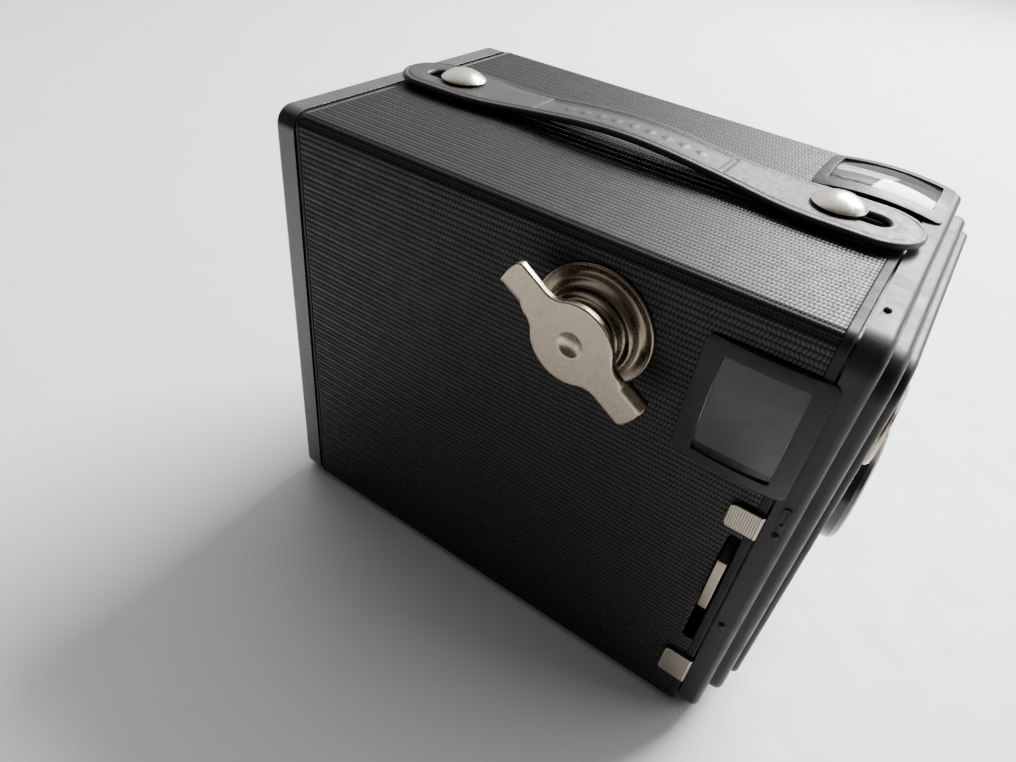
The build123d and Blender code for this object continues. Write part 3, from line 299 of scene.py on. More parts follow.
def red_film(name):
    """Deep red transparent window film."""
    r = Recipe(name, IOR=1.48, Transmission_Weight=0.75)
    r.put("Base Color", r.blend(r.noise(3, 4), (0.55, 0.012, 0.01), (0.30, 0.006, 0.006)))
    r.put("Roughness", r.span(r.noise(1.0, 4), 0.3, 0.7, 0.08, 0.22))
    r.bump(r.noise(1.5, 2), 0.02)
    return r.material


def turned_wood(name):
    """Turned spool wood with its grain along the axle."""
    r = Recipe(name)
    grain = r.noise(0.7, 5, 0.7, (12, 1, 1))
    r.put("Base Color", r.blend(grain, (0.36, 0.22, 0.11), (0.58, 0.40, 0.22)))
    r.put("Roughness", r.span(grain, 0.3, 0.7, 0.45, 0.65))
    r.bump(grain, 0.05)
    return r.material


def table_top(name):
    """White table, faintly mottled."""
    r = Recipe(name, Specular_IOR_Level=0.35)
    r.put("Base Color", r.blend(r.noise(60, 4, 0.6), (0.80, 0.795, 0.79), (0.74, 0.735, 0.735)))
    r.put("Roughness", r.span(r.noise(12, 4), 0.3, 0.7, 0.42, 0.55))
    r.bump(r.noise(2.0, 3), 0.02)
    return r.material


# the material of each slot, and the finishes of nodes that differ from their slot's
recipes = {
    "black_enamel": enamel("black_enamel", (0.007, 0.007, 0.008), 0.24),
    "leatherette": leatherette("leatherette"),
    "nickel": nickel("nickel"),
    "black_brass": enamel("blackened_brass", (0.012, 0.010, 0.008), 0.4),
    "black_steel": matt_black("matt_black"),
    "brass": steel("plain_brass", (0.62, 0.46, 0.22), 0.32),
    "steel": steel("plain_steel"),
    "lens_glass": glass("lens_glass"),
    "finder_glass": glass("finder_glass", haze=0.02, index=1.32),
    "mirror": silvering("mirror"),
    "strap_leather": strap_leather("strap_leather"),
    "red_celluloid": red_film("red_film"),
    "yellow_glass": glass("yellow_glass", (0.95, 0.72, 0.12)),
    "wood": turned_wood("spool_wood"),
}
# painted dark reflection: the key's sleeve and the spun collar get nickel tones darkened to stand in for
# the dark surroundings they reflect; their brown spots and hollows are tarnish
polished_painted_dark = nickel("polished_nickel_painted_dark", (0.24, 0.195, 0.15), 0.24, 0.3, 0.003)
spun_painted_dark = nickel("spun_nickel_painted_dark", (0.20, 0.165, 0.125), 0.27, 0.15, 0.002)
pearl = nickel("worn_satin_nickel", (0.30, 0.275, 0.225), 0.38, 0.45, 0.012)
bright = nickel("stud_nickel", (0.72, 0.68, 0.58), 0.25, 0.2, 0.003)
satin = enamel("satin_enamel", (0.012, 0.012, 0.013), 0.40, 0.4, 0.18, 0.03)
special = {
    "key_sleeve": polished_painted_dark,
    "aperture_slide": pearl,
    "time_slide": pearl,
    "release_lever": pearl,
    "strap_studs": bright,
    "body_shell": enamel("worn_enamel", (0.008, 0.008, 0.009), 0.5, 0.5, 0.14, 0.0),
    "front_cover": satin,
    "front_plate": satin,
    "landscape_finder_frame": satin,
    "portrait_finder_frame": satin,
}
for entry in frame["record"]["subparts"]:
    node = entry["node"]
    chosen = special.get(node, recipes[entry["material_slot"]])
    nodes[node].data.materials.clear()
    nodes[node].data.materials.append(chosen)


# ================================================================ rounded edges of the metal parts
SHARP = radians(32)  # faces that meet at more than this angle have a hard edge between them


def round_edges(names, width, steps=3):
    """Breaks the hard edges of CAD nodes with a small radius, width in millimetres."""
    for name in names:
        weld = nodes[name].modifiers.new("weld", "WELD")
        weld.merge_threshold = 0.002 * MM
        bevel = nodes[name].modifiers.new("rounded edges", "BEVEL")
        bevel.width = width * MM
        bevel.segments = steps
        bevel.limit_method = "ANGLE"
        bevel.angle_limit = SHARP
        bevel.miter_outer = "MITER_ARC"
        bevel.use_clamp_overlap = True
        flat = nodes[name].modifiers.new("even flats", "WEIGHTED_NORMAL")
        flat.mode = "FACE_AREA"
        flat.weight = 70
        nodes[name].data.shade_smooth()


round_edges(["landscape_finder_frame", "portrait_finder_frame"], 0.18)
round_edges(["front_cover", "front_plate", "back_cover"], 0.16, steps=2)
round_edges(["strap_studs", "stud_washers"], 0.25)
round_edges(["aperture_slide", "time_slide", "release_lever", "key_shaft"], 0.15)


# ================================================================ mesh tools
def new_piece(name, points, faces, material, body, relief=None):
    """A closed mesh from points in millimetres and four-sided faces, riding on a CAD body. The faces are
    turned outward. relief is a value for each point that the material can read."""
    a, b, c, d = np.moveaxis(points[faces], 1, 0)
    volume = (a * (np.cross(b, c) + np.cross(c, d))).sum()
    if volume < 0:
        faces = faces[:, ::-1]
    mesh = bpy.data.meshes.new(name)
    mesh.from_pydata(points * MM, [], faces.tolist())
    mesh.materials.append(material)
    mesh.update()
    mesh.shade_smooth()
    if relief is not None:
        stored = mesh.attributes.new("relief", "FLOAT", "POINT")
        stored.data.foreach_set("value", np.asarray(relief, np.float32))
    piece = bpy.data.objects.new(name, mesh)
    bpy.context.scene.collection.objects.link(piece)
    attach(piece, body)
    return piece


def grid_quads(columns, rows, closed_columns, closed_rows=False):
    """Four-sided faces of a grid of points numbered row by row within each column. closed_columns joins the
    last column to the first, closed_rows the last row to the first."""
    last_column = columns if closed_columns else columns - 1
    last_row = rows if closed_rows else rows - 1
    a, b = np.meshgrid(np.arange(last_column), np.arange(last_row), indexing="ij")
    a2, b2 = (a + 1) % columns, (b + 1) % rows
    corners = [a * rows + b, a2 * rows + b, a2 * rows + b2, a * rows + b2]
    return np.stack(corners, -1).reshape(-1, 4)


def thick_sheet(name, outer, inner, dropped, closed, material, body, relief):
    """Closed sheet between two grids of points of the same shape. dropped marks the points inside openings,
    and a cell goes when all its corners are dropped. closed joins the last column to the first."""
    columns, rows = outer.shape[:2]
    quads = grid_quads(columns, rows, closed)
    quads = quads[~dropped.reshape(-1)[quads].all(1)]
    count = columns * rows
    # a side that no neighbour walks the other way lies on a rim, where the sheet needs a wall
    sides = np.concatenate([quads[:, [0, 1]], quads[:, [1, 2]], quads[:, [2, 3]], quads[:, [3, 0]]])
    keys = sides[:, 0].astype(np.int64) * count + sides[:, 1]
    partners = sides[:, 1].astype(np.int64) * count + sides[:, 0]
    rim = sides[~np.isin(keys, partners)]
    walls = np.stack([rim[:, 1], rim[:, 0], rim[:, 0] + count, rim[:, 1] + count], -1)
    faces = np.concatenate([quads, quads[:, ::-1] + count, walls])
    used = np.unique(faces)
    renumber = np.zeros(2 * count, np.int64)
    renumber[used] = np.arange(len(used))
    points = np.concatenate([outer.reshape(-1, 3), inner.reshape(-1, 3)])[used]
    heights = np.concatenate([relief.reshape(-1), np.zeros(count)])[used]
    return new_piece(name, points, renumber[faces], material, body, heights)


def snap_round(across, along, centre, radius, where):
    """Moves the grid points inside a round opening out to its rim. Returns the new places and the mask."""
    dx, dy = across - centre[0], along - centre[1]
    distance = np.maximum(np.hypot(dx, dy), 1e-6)
    inside = where & (distance < radius)
    across = np.where(inside, centre[0] + dx / distance * radius, across)
    along = np.where(inside, centre[1] + dy / distance * radius, along)
    return across, along, inside


def snap_square(across, along, low, high, where):
    """The same for a rectangular opening between its low and high corners."""
    inside = where & (across > low[0]) & (across < high[0]) & (along > low[1]) & (along < high[1])
    gaps = np.stack([across - low[0], high[0] - across, along - low[1], high[1] - along])
    nearest = gaps.argmin(0)
    across = np.where(inside & (nearest == 0), low[0], across)
    across = np.where(inside & (nearest == 1), high[0], across)
    along = np.where(inside & (nearest == 2), low[1], along)
    along = np.where(inside & (nearest == 3), high[1], along)
    return across, along, inside


# ================================================================ herringbone covering
ROW = 1.2            # width of one row of slanting dashes
DASH = 0.72          # pitch of the dashes along a row
SLANT = 0.6          # how far a dash leans over one row
RIDGE = 0.24         # depth of the valley between two rows
PROUD = 0.04         # height of the crowns over the plain sheet
BETWEEN = 0.28       # height of the ground between two dashes, against 1 for their crowns


def herringbone(row_count, length):
    """Grid positions across the rows, counted in rows, and along them, in millimetres, and the relief, from
    0 in a valley to 1 on a crown."""
    valley_and_crown = np.array([0.0, 0.28, 0.72])
    across = (np.arange(row_count)[:, None] + valley_and_crown).reshape(-1)
    lean = np.abs((across + 1) % 2 - 1) * SLANT
    steps = int(round(length / (DASH / 2)))
    along = np.linspace(0, length, steps + 1)
    # the dashes stand square within this distance of the two ends
    square_end = 2.0
    ends = np.clip(np.minimum(along, length - along) / square_end, 0, 1)
    along_grid = along[None, :] + (lean[:, None] - SLANT / 2) * ends[None, :]
    crown = np.where(across % 1 > 0, 1.0, 0.0)[:, None]
    dash = np.where(np.arange(steps + 1) % 2 == 0, 1.0, BETWEEN)[None, :]
    return across, along_grid, crown * dash


wrap_low, wrap_high = box_mm("leatherette_wrap")
wrap_w = wrap_high[0] - wrap_low[0]
wrap_h = wrap_high[2] - wrap_low[2]
wrap_mid_z = (wrap_low[2] + wrap_high[2]) / 2
WRAP_R = 3.0         # radius of the body's long edges
WRAP_T = 0.6         # thickness of the covering
KEY_HOLE_R = 8.0     # openings in the covering: round the key's collar,
TRIPOD_HOLE_R = 6.2  # round the tripod bushes,
STUD_HOLE_R = 2.1    # and round the shanks of the strap studs
STUD_R = 5.0         # head radius of a strap stud
WELL_MARGIN = np.array([2.35, 1.45])   # how far the opening of a finder window stays inside its frame
LEVER_STRIP = (-50.8, 24.5, 57.0)      # bare strip by the release lever: its rear end, bottom and top


def around(distance):
    """Points and outward directions on the body's rounded outline, distance millimetres from the middle of
    the underside."""
    half_w, half_h = wrap_w / 2, wrap_h / 2
    flat_w, flat_h, arc = half_w - WRAP_R, half_h - WRAP_R, WRAP_R * pi / 2
    pieces = [(flat_w, "line", (0, -half_h), (1, 0), (0, -1)),
              (arc, "arc", (flat_w, -flat_h), -90, None),
              (2 * flat_h, "line", (half_w, -flat_h), (0, 1), (1, 0)),
              (arc, "arc", (flat_w, flat_h), 0, None),
              (2 * flat_w, "line", (flat_w, half_h), (-1, 0), (0, 1)),
              (arc, "arc", (-flat_w, flat_h), 90, None),
              (2 * flat_h, "line", (-half_w, flat_h), (0, -1), (-1, 0)),
              (arc, "arc", (-flat_w, -flat_h), 180, None),
              (flat_w, "line", (-flat_w, -half_h), (1, 0), (0, -1))]
    point = np.zeros((len(distance), 2))
    out = np.zeros((len(distance), 2))
    start = 0.0
    for length, kind, origin, way, outward in pieces:
        here = (distance >= start - 1e-9) & (distance <= start + length + 1e-9)
        t = distance[here] - start
        if kind == "line":
            point[here] = np.array(origin) + t[:, None] * np.array(way)
            out[here] = outward
        else:
            angle = np.radians(way) + t / WRAP_R
            out[here] = np.stack([np.cos(angle), np.sin(angle)], -1)
            point[here] = np.array(origin) + WRAP_R * out[here]
        start += length
    return point, out


def stud_places():
    """Places of the two strap studs along the top."""
    low, high = box_mm("strap_studs")
    return low[1] + STUD_R, high[1] - STUD_R


def build_wrap():
    """The covering wrapped round the body, its rows running from front to back."""
    outline = 2 * (wrap_w + wrap_h - 4 * WRAP_R) + 2 * pi * WRAP_R
    row_count = int(round(outline / ROW / 2)) * 2
    across, along, crown = herringbone(row_count, wrap_high[1] - wrap_low[1])
    distance = across / row_count * outline
    along = along + wrap_low[1]
    ring, outward = around(distance)
    x = np.repeat(ring[:, :1], along.shape[1], 1)
    z = np.repeat(ring[:, 1:], along.shape[1], 1) + wrap_mid_z
    dropped = np.zeros(along.shape, bool)
    near = 0.01
    left, right = x < wrap_low[0] + near, x > wrap_high[0] - near
    under, top = z < wrap_low[2] + near, z > wrap_high[2] - near
    along, z, gone = snap_round(along, z, middle_mm("key_bush")[1:], KEY_HOLE_R, left)
    dropped |= gone
    along, z, gone = snap_round(along, z, middle_mm("tripod_bush_side")[1:], TRIPOD_HOLE_R, right)
    dropped |= gone
    x, along, gone = snap_round(x, along, middle_mm("tripod_bush_bottom")[:2], TRIPOD_HOLE_R, under)
    dropped |= gone
    for stud_y in stud_places():
        x, along, gone = snap_round(x, along, (0.0, stud_y), STUD_HOLE_R, top)
        dropped |= gone
    low, high = box_mm("landscape_finder_frame")
    along, z, gone = snap_square(along, z, low[1:] + WELL_MARGIN, high[1:] - WELL_MARGIN, left)
    dropped |= gone
    low, high = box_mm("portrait_finder_frame")
    x, along, gone = snap_square(x, along, low[:2] + WELL_MARGIN, high[:2] - WELL_MARGIN, top)
    dropped |= gone
    strip_rear, strip_low, strip_high = LEVER_STRIP
    strip_front = wrap_low[1] - 1
    along, z, gone = snap_square(along, z, (strip_front, strip_low), (strip_rear, strip_high), left)
    dropped |= gone
    spot = np.stack([x, along, z], -1)
    out = np.stack([outward[:, 0], np.zeros(len(outward)), outward[:, 1]], -1)
    out = np.repeat(out[:, None, :], along.shape[1], 1)
    outer = spot - out * (RIDGE * (1 - crown) - PROUD)[..., None]
    inner = spot - out * WRAP_T
    piece = thick_sheet("herringbone_covering", outer, inner, dropped, True, recipes["leatherette"],
                        "camera_body", crown)
    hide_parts("leatherette_wrap")


build_wrap()


def build_back_panel():
    """The covering of the back, with the same emboss, its rows running across."""
    low, high = box_mm("back_panel")
    width, height = high[0] - low[0], high[2] - low[2]
    row_count = int(round(height / ROW / 2)) * 2
    across, along, crown = herringbone(row_count, width)
    across = np.append(across, row_count)
    along = np.concatenate([along, along[:1]])
    crown = np.concatenate([crown, crown[:1]])
    x = along + low[0]
    z = np.repeat((across / row_count * height + low[2])[:, None], along.shape[1], 1)
    window = middle_mm("red_window")
    window_hole_r, corner = 7.6, 4.0
    x, z, dropped = snap_round(x, z, (window[0], window[2]), window_hole_r, np.ones(x.shape, bool))
    # points beyond the round of a corner move in to it
    mid = (low + high) / 2
    dx = np.abs(x - mid[0]) - (width / 2 - corner)
    dz = np.abs(z - mid[2]) - (height / 2 - corner)
    reach = np.maximum(np.hypot(np.maximum(dx, 0), np.maximum(dz, 0)), 1e-6)
    squeeze = np.where((dx > 0) & (dz > 0), np.minimum(1, corner / reach), 1)
    x = np.where(squeeze < 1, mid[0] + np.sign(x - mid[0]) * (width / 2 - corner + dx * squeeze), x)
    z = np.where(squeeze < 1, mid[2] + np.sign(z - mid[2]) * (height / 2 - corner + dz * squeeze), z)
    outer = np.stack([x, high[1] + PROUD - RIDGE * (1 - crown), z], -1)
    inner = np.stack([x, np.full(x.shape, low[1]), z], -1)
    piece = thick_sheet("back_covering", outer, inner, dropped, False, recipes["leatherette"],
                        "back", crown)
    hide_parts("back_panel")


build_back_panel()


# ================================================================ strap
STRAP_SLOT_R = 2.6                                 # half the width of the slots for the studs
STRAP_SLOTS = ((-51.2, -39.4), (38.9, 50.6))       # their ends along the strap


def bead(distance, centre, reach):
    """1 on a line at distance centre from an edge, fading to nothing about reach away from it."""
    return np.exp(-((distance - centre) / reach) ** 2)


def rounding(distance, radius):
    """1 on an edge, falling along a quarter circle to 0 at radius from it."""
    inward = 1 - np.clip(distance / radius, 0, 1)
    return 1 - np.sqrt(np.clip(1 - inward ** 2, 0, 1))


def build_strap():
    """Carrying strap: a waisted band with round ends, arched at the middle, with tooled lines along its
    edges, slots for the studs and a sunk panel with a row of lozenges."""
    low, high = box_mm("strap")
    thick, rise = 1.4, 2.5
    wide, narrow = (high[0] - low[0]) / 2, 6.25
    mid = (low[1] + high[1]) / 2
    half = (high[1] - low[1]) / 2
    lobe = half - wide
    arch, waist, shoulder = 36.0, 20.0, lobe - 8.0
    length_steps, width_steps = 300, 49
    s = np.linspace(-1, 1, length_steps)
    y = mid + half * (s * 0.999)
    away = np.abs(y - mid)
    ease = np.clip((away - waist) / (shoulder - waist), 0, 1)
    ease = ease * ease * (3 - 2 * ease)
    width = narrow + (wide - narrow) * ease
    past = np.clip(away - lobe, 0, wide)
    width = np.where(away > lobe, np.sqrt(np.maximum(wide ** 2 - past ** 2, 0.01)), width)
    slope = np.gradient(width, y)
    # places across the strap, closer together toward its edges
    t = np.linspace(-1, 1, width_steps)
    t = np.sign(t) * (1 - (1 - np.abs(t)) ** 1.25)
    x = t[:, None] * width[None, :]
    yy = np.repeat(y[None, :], len(t), 0)
    steepest = 20.0
    edge = (width[None, :] - np.abs(x)) / np.sqrt(1 + np.minimum(slope ** 2, steepest ** 2))[None, :]
    edge = np.minimum(edge, half - np.abs(yy - mid))
    dropped = np.zeros(x.shape, bool)
    slot_edge = np.full(x.shape, np.inf)
    for slot_from, slot_to in STRAP_SLOTS:
        nearest = np.clip(yy, slot_from + STRAP_SLOT_R, slot_to - STRAP_SLOT_R)
        dx, dy = x, yy - nearest
        gap = np.maximum(np.hypot(dx, dy), 1e-6)
        inside = gap < STRAP_SLOT_R
        x = np.where(inside, dx / gap * STRAP_SLOT_R, x)
        yy = np.where(inside, nearest + dy / gap * STRAP_SLOT_R, yy)
        dropped |= inside
        slot_edge = np.minimum(slot_edge, np.maximum(gap - STRAP_SLOT_R, 0))
    lift = 0.5 * (1 + np.cos(np.clip(np.abs(yy - mid) / arch, 0, 1) * pi)) * rise
    base = low[2] + lift
    near = np.minimum(edge, slot_edge)
    round_off = 0.55 * rounding(near, 0.6)
    edge_line, slot_line, line_reach = 1.35, 1.0, 0.22
    groove = 0.28 * bead(edge, edge_line, line_reach)
    groove += 0.16 * bead(slot_edge, slot_line, line_reach)
    panel_half_x, panel_half_y, panel_mid = 4.3, 21.1, -0.6
    inset = np.minimum(panel_half_x - np.abs(x), panel_half_y - np.abs(yy - panel_mid))
    panel_depth, panel_wall = 0.30, 0.25
    panel = panel_depth * np.clip(inset / panel_wall, 0, 1)
    panel -= 0.26 * bead(inset, 0.8, 0.18) * (inset > 0)
    # nine small raised lozenges in a row along the panel
    pitch, lozenges, lozenge_half_x, lozenge_half_y = 3.7, 9, 1.5, 1.2
    cell = (yy - panel_mid + pitch / 2) % pitch - pitch / 2
    lozenge = 1 - np.abs(x) / lozenge_half_x - np.abs(cell) / lozenge_half_y
    in_row = np.abs(yy - panel_mid) < pitch * lozenges / 2
    panel -= 0.18 * np.clip(lozenge * 3, 0, 1) * in_row
    sag = 0.12 * np.clip(1 - edge / 4.0, 0, 1) ** 2
    drop = round_off + groove + panel + sag
    top = np.stack([x, yy, base + thick - drop], -1)
    bottom = np.stack([x, yy, base + 0.35 * rounding(near, 0.5)], -1)
    relief = np.clip(1 - drop / 0.3, 0, 1)
    piece = thick_sheet("carrying_strap", top, bottom, dropped, False, recipes["strap_leather"],
                        "camera_body", relief)
    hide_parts("strap")


build_strap()


# ================================================================ solids from distance fields
def zero_surface(field, low, high, step):
    """Points and four-sided faces of the surface where a signed distance field passes zero."""
    axes = [np.arange(lo - 2 * step, hi + 2 * step, step) for lo, hi in zip(low, high)]
    value = field(*np.meshgrid(*axes, indexing="ij"))
    cells = tuple(n - 1 for n in value.shape)
    total, hits = np.zeros((*cells, 3)), np.zeros(cells)
    for axis in range(3):
        for first in (0, 1):
            for second in (0, 1):
                start = np.insert([first, second], axis, 0)
                end = np.insert([first, second], axis, 1)
                f0 = value[tuple(slice(o, o + n) for o, n in zip(start, cells))]
                f1 = value[tuple(slice(o, o + n) for o, n in zip(end, cells))]
                cross = (f0 < 0) != (f1 < 0)
                share = np.where(cross, f0 / np.where(cross, f0 - f1, 1), 0)
                for k in range(3):
                    total[..., k] += cross * (share if k == axis else start[k])
                hits += cross
    used = hits > 0
    number = np.full(cells, -1)
    number[used] = np.arange(used.sum())
    origin = np.array([line[0] for line in axes])
    points = origin + (np.argwhere(used) + total[used] / hits[used][:, None]) * step
    faces = []
    for axis in range(3):
        u, v = (axis + 1) % 3, (axis + 2) % 3
        inner = [slice(None)] * 3
        inner[u], inner[v] = slice(1, -1), slice(1, -1)
        here, there = list(inner), list(inner)
        here[axis], there[axis] = slice(0, -1), slice(1, None)
        f0, f1 = value[tuple(here)] < 0, value[tuple(there)] < 0
        for rising in (True, False):
            spots = np.argwhere((f0 != f1) & (f0 == rising))
            spots[:, u] += 1
            spots[:, v] += 1
            ring = []
            for du, dv in ((-1, -1), (0, -1), (0, 0), (-1, 0)):
                cell = spots.copy()
                cell[:, u] += du
                cell[:, v] += dv
                ring.append(number[tuple(cell.T)])
            quads = np.stack(ring, -1)
            faces.append(quads if rising else quads[:, ::-1])
    # each round moves the points along the field's slope onto the surface
    tiny = 0.01
    for _ in range(3):
        level = field(*points.T)
        slope = np.stack([(field(*(points + shift).T) - field(*(points - shift).T)) / (2 * tiny)
                          for shift in np.eye(3) * tiny], -1)
        steep = np.maximum((slope ** 2).sum(-1), 0.2)
        move = slope * (level / steep)[:, None]
        points = points - np.clip(move, -step / 2, step / 2)
    return points, np.concatenate(faces)


def slab(outline, depth, soft):
    """A flat outline field and a thickness field joined into a plate with softly rounded edges."""
    a, b = outline + soft, depth + soft
    return np.minimum(np.maximum(a, b), 0) + np.hypot(np.maximum(a, 0), np.maximum(b, 0)) - soft


def join_round(a, b, radius):
    """Union of two fields with a hollow fillet of the given radius."""
    u, v = np.maximum(radius - a, 0), np.maximum(radius - b, 0)
    return np.maximum(radius, np.minimum(a, b)) - np.hypot(u, v)


def cut_round(a, b, radius):
    """The first field without the second, the rim rounded."""
    u, v = np.maximum(radius + a, 0), np.maximum(radius - b, 0)
    return np.minimum(-radius, np.maximum(a, -b)) + np.hypot(u, v)


# ================================================================ winding key
def build_key():
    """Winding key: a dimpled disc with two wings, each with a lip along one side that is folded toward the
    body. u runs along the wings, v across them, and depth from the outer face inward."""
    low, high = box_mm("winding_key")
    mid_y, mid_z = middle_mm("key_shaft")[1:]
    wing = radians(32)
    disc_r, reach_u, half_wing, plate_t = 7.8, 16.0, 3.3, 1.45
    wing_bow, tip_r, soft, fillet = 0.04, 0.9, 0.28, 0.4
    fold_from, fold_t, bend_r = 10.4, 1.3, 1.35
    dimple_r, dimple_depth = 2.3, 0.95
    ball_r = (dimple_r ** 2 + dimple_depth ** 2) / (2 * dimple_depth)
    # centre of the hollow arc that joins the disc to a wing, and its two ends
    arc_r = 4.0
    arc_v = half_wing + arc_r
    arc_u = ((disc_r + arc_r) ** 2 - arc_v ** 2) ** 0.5
    meet_u, meet_v = arc_u * disc_r / (disc_r + arc_r), arc_v * disc_r / (disc_r + arc_r)

    def field(x, y, z):
        dy, dz = y - mid_y, z - mid_z
        u = dy * cos(wing) + dz * sin(wing)
        v = dz * cos(wing) - dy * sin(wing)
        depth = x - low[0]
        radius = np.hypot(u, v)
        au, av = np.abs(u), np.abs(v)
        tip = reach_u - wing_bow * v ** 2
        arms = slab(au - tip, av - half_wing, tip_r)
        outline = np.minimum(radius - disc_r, arms)
        inside = (arc_v - av) * (arc_u - meet_u) > (arc_u - au) * (arc_v - meet_v)
        hollow = (au < arc_u) & (av < arc_v) & inside
        outline = np.where(hollow, arc_r - np.hypot(au - arc_u, av - arc_v), outline)
        solid = slab(outline, np.abs(depth - plate_t / 2) - plate_t / 2, soft)
        for side in (1, -1):
            along, over = side * u, side * v
            flat = slab(np.maximum(fold_from - along, along - tip),
                        np.abs(over + half_wing - fold_t / 2) - fold_t / 2, 0.3)
            deep = np.maximum(-depth, depth - (high[0] - low[0]))
            solid = join_round(solid, slab(flat, deep, 0.35), fillet)
            # the bend grows from a plain soft edge to its full radius where the lip begins
            blunt = np.clip((along - fold_from + 1.2) / 1.6, 0, 1) * bend_r + soft
            bend = slab(-half_wing - over, -depth, blunt)
            solid = np.where(along > fold_from - 1.4, np.maximum(solid, bend), solid)
        ball = np.sqrt((depth - dimple_depth + ball_r) ** 2 + u ** 2 + v ** 2) - ball_r
        return cut_round(solid, ball, 0.12)

    points, faces = zero_surface(field, low, high, 0.17)
    piece = new_piece("folding_key", points, faces, recipes["nickel"], "key")
    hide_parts("winding_key")


build_key()


# ================================================================ turned collar under the key
def smooth_line(corners, steps):
    """Open line of corners turned into a soft curve by cutting its corners steps times, its ends kept."""
    line = np.asarray(corners, float)
    for _ in range(steps):
        first, second = line[:-1], line[1:]
        cut = np.stack([0.75 * first + 0.25 * second, 0.25 * first + 0.75 * second], 1).reshape(-1, 2)
        line = np.concatenate([line[:1], cut, line[-1:]])
    return line


def build_collar():
    """Spun collar: a thin lip on the covering, a hollow dish and a rounded boss round the key's sleeve. Its
    section is a line of (x, radius) points."""
    low, high = box_mm("key_bush")
    mid_y, mid_z = middle_mm("key_bush")[1:]
    lip_r = (high[1] - low[1]) / 2
    face, rise, hole_r = wrap_low[0], low[0], 4.2
    shoulder_x, shank_r, flange_r = face - 3.0, 5.25, 7.95
    dish = [(face, lip_r - 0.35), (face - 0.1, lip_r), (face - 0.5, lip_r), (face - 0.8, lip_r - 0.3),
            (face - 0.6, lip_r - 0.75), (face - 0.55, lip_r - 1.6), (face - 0.9, lip_r - 2.4),
            (face - 1.9, lip_r - 2.75), (face - 2.7, lip_r - 3.2), (face - 2.75, lip_r - 3.7),
            (face - 2.6, lip_r - 4.3), (face - 3.4, lip_r - 4.7), (rise + 0.3, lip_r - 4.8),
            (rise, lip_r - 5.4), (rise, hole_r + 0.2)]
    outer = smooth_line(dish, 3)
    bore = [(rise + 0.15, hole_r), (shoulder_x, hole_r), (shoulder_x, shank_r), (high[0], shank_r),
            (high[0], flange_r), (face, flange_r)]
    line = np.concatenate([outer, bore])
    turns = 160
    angle = np.arange(turns) / turns * 2 * pi
    x = np.repeat(line[None, :, 0], turns, 0)
    y = mid_y + np.outer(np.cos(angle), line[:, 1])
    z = mid_z + np.outer(np.sin(angle), line[:, 1])
    points = np.stack([x, y, z], -1).reshape(-1, 3)
    faces = grid_quads(turns, len(line), closed_columns=True, closed_rows=True)
    # the collar's darkened nickel is painted dark reflection
    piece = new_piece("spun_collar", points, faces, spun_painted_dark, "camera_body")
    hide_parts("key_bush")


build_collar()


# ================================================================ ribbed grips of the two slides
def build_grip(node, body):
    """Fine ribs across the finger tab of a slide."""
    mesh = nodes[node].data
    spots = np.array([v.co for v in mesh.vertices]) / MM
    face = spots[spots[:, 0] < spots[:, 0].min() + 0.01]
    x = face[:, 0].min()
    y_low, y_high = spots[:, 1].min() + 0.35, face[:, 1].max()
    z_low, z_high = face[:, 2].min(), face[:, 2].max()
    middle, half = (z_low + z_high) / 2, (z_high - z_low) / 2
    pitch, rise, corner = 0.46, 0.13, 1.2
    count = int(round((y_high - y_low) / pitch)) * 4
    y = np.linspace(y_low, y_high, count + 1)
    z = np.linspace(z_low, z_high, 25)
    ribs = 0.5 - 0.5 * np.cos(np.arange(count + 1) * pi / 2)
    yy, zz = np.meshgrid(y, z, indexing="ij")
    # the square corners of the grid are pulled in to round ones
    dy = yy - (y_high - corner)
    dz = np.abs(zz - middle) - (half - corner)
    far = np.maximum(np.hypot(dy, dz), 1e-6)
    pull = np.where((dy > 0) & (dz > 0), np.maximum(dy, dz) / far, 1)
    yy = np.where(pull < 1, y_high - corner + dy * pull, yy)
    zz = np.where(pull < 1, middle + np.sign(zz - middle) * (half - corner + dz * pull), zz)
    edge = np.minimum(zz - z_low, z_high - zz)
    soft = np.clip(edge / 0.25, 0, 1) ** 0.5
    top = x - rise * (0.25 + 0.75 * ribs[:, None]) * soft
    outer = np.stack([top, yy, zz], -1)
    inner = np.stack([np.full(yy.shape, x + 0.05), yy, zz], -1)
    piece = thick_sheet(node + "_grip", outer, inner, np.zeros(yy.shape, bool), False, pearl, body,
                        np.repeat(ribs[:, None], len(z), 1))


build_grip("aperture_slide", "aperture_control")
build_grip("time_slide", "time_control")


# ================================================================ floor, light and camera
def build_floor():
    """A wide table top just under the object."""
    reach, gap = 6.0, 0.2 * MM
    corners = [(-reach, -reach, 0), (reach, -reach, 0), (reach, reach, 0), (-reach, reach, 0)]
    mesh = bpy.data.meshes.new("floor")
    mesh.from_pydata(corners, [], [(0, 1, 2, 3)])
    mesh.materials.append(table_top("white_table"))
    floor = bpy.data.objects.new("floor", mesh)
    floor.location.z = cad_box[0].z - gap
    bpy.context.scene.collection.objects.link(floor)


def area_light(name, place, aim, size, power, colour):
    """A rectangular lamp at a place in metres, turned toward aim."""
    data = bpy.data.lights.new(name, "AREA")
    data.shape = "RECTANGLE"
    data.size, data.size_y = size
    data.energy = power
    data.color = colour
    lamp = bpy.data.objects.new(name, data)
    lamp.location = place
    lamp.rotation_euler = (Vector(aim) - Vector(place)).to_track_quat("-Z", "Y").to_euler()
    bpy.context.scene.collection.objects.link(lamp)


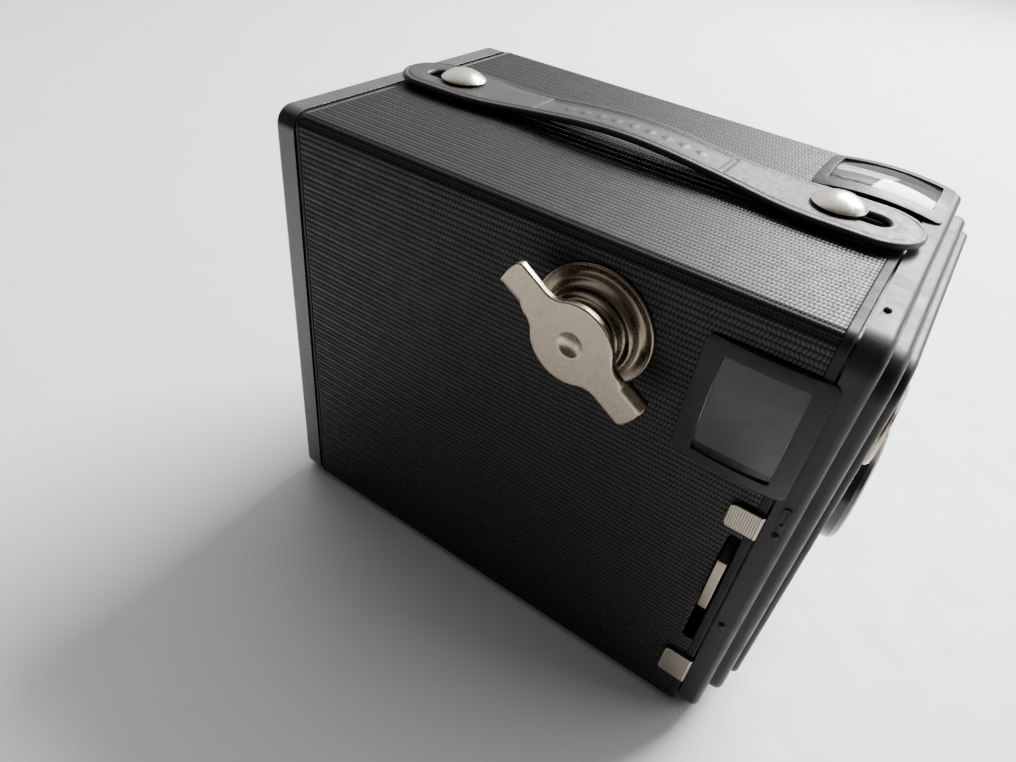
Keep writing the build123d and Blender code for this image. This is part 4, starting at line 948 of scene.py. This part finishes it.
def build_room():
    """The surroundings: bright toward the window and dim elsewhere, behind a plain pale backdrop."""
    toward_window = (0.68, 0.38, 0.63)
    dim, bright_sky, backdrop_tone = (0.125, 0.119, 0.114, 1), (1.3, 1.3, 1.31, 1), (0.72, 0.72, 0.72, 1)
    world = bpy.data.worlds.new("room")
    world.use_nodes = True
    bpy.context.scene.world = world
    tree = world.node_tree
    way = tree.nodes.new("ShaderNodeTexCoord")
    facing = tree.nodes.new("ShaderNodeVectorMath")
    facing.operation = "DOT_PRODUCT"
    facing.inputs[1].default_value = toward_window
    # from -1..1 to 0..1
    share = tree.nodes.new("ShaderNodeMath")
    share.operation = "MULTIPLY_ADD"
    share.inputs[1].default_value = 0.5
    share.inputs[2].default_value = 0.5
    fade = tree.nodes.new("ShaderNodeValToRGB")
    fade.color_ramp.interpolation = "EASE"
    fade.color_ramp.elements[0].position = 0.70
    fade.color_ramp.elements[0].color = dim
    fade.color_ramp.elements[1].position = 1.0
    fade.color_ramp.elements[1].color = bright_sky
    seen = tree.nodes.new("ShaderNodeLightPath")
    backdrop = tree.nodes.new("ShaderNodeMix")
    backdrop.data_type = "RGBA"
    backdrop.inputs["B"].default_value = backdrop_tone
    sky = tree.nodes["Background"]
    sky.inputs["Strength"].default_value = 1.0
    tree.links.new(way.outputs["Generated"], facing.inputs[0])
    tree.links.new(facing.outputs["Value"], share.inputs[0])
    tree.links.new(share.outputs[0], fade.inputs["Fac"])
    tree.links.new(seen.outputs["Is Camera Ray"], backdrop.inputs["Factor"])
    tree.links.new(fade.outputs["Color"], backdrop.inputs["A"])
    tree.links.new(backdrop.outputs["Result"], sky.inputs["Color"])


def build_camera():
    """A camera above the left side, near the front, looking down at the object and slightly rolled."""
    data = bpy.data.cameras.new("camera")
    data.sensor_width = 36.0
    data.lens = 25.45
    data.clip_start = 0.01
    eye = Vector((-0.1339, -0.0559, 0.1546))
    aim = Vector((0.0, 0.0198, 0.0298))
    roll = radians(7.9)
    turn = (aim - eye).to_track_quat("-Z", "Y").to_matrix().to_4x4()
    camera = bpy.data.objects.new("camera", data)
    camera.matrix_world = Matrix.Translation(eye) @ turn @ Matrix.Rotation(roll, 4, "Z")
    bpy.context.scene.collection.objects.link(camera)
    bpy.context.scene.camera = camera


build_floor()
# a window high on the right side, and a weaker, wider light low in front of the lens side
area_light("window", (0.86, -0.21, 0.77), (0, 0, 0.05), (0.6, 0.6), 58, (1.0, 0.99, 0.97))
area_light("front fill", (0.75, -1.15, 0.55), (0, 0, 0.03), (1.0, 0.8), 9, (1.0, 0.99, 1.0))
build_room()
build_camera()

bpy.context.view_layer.update()
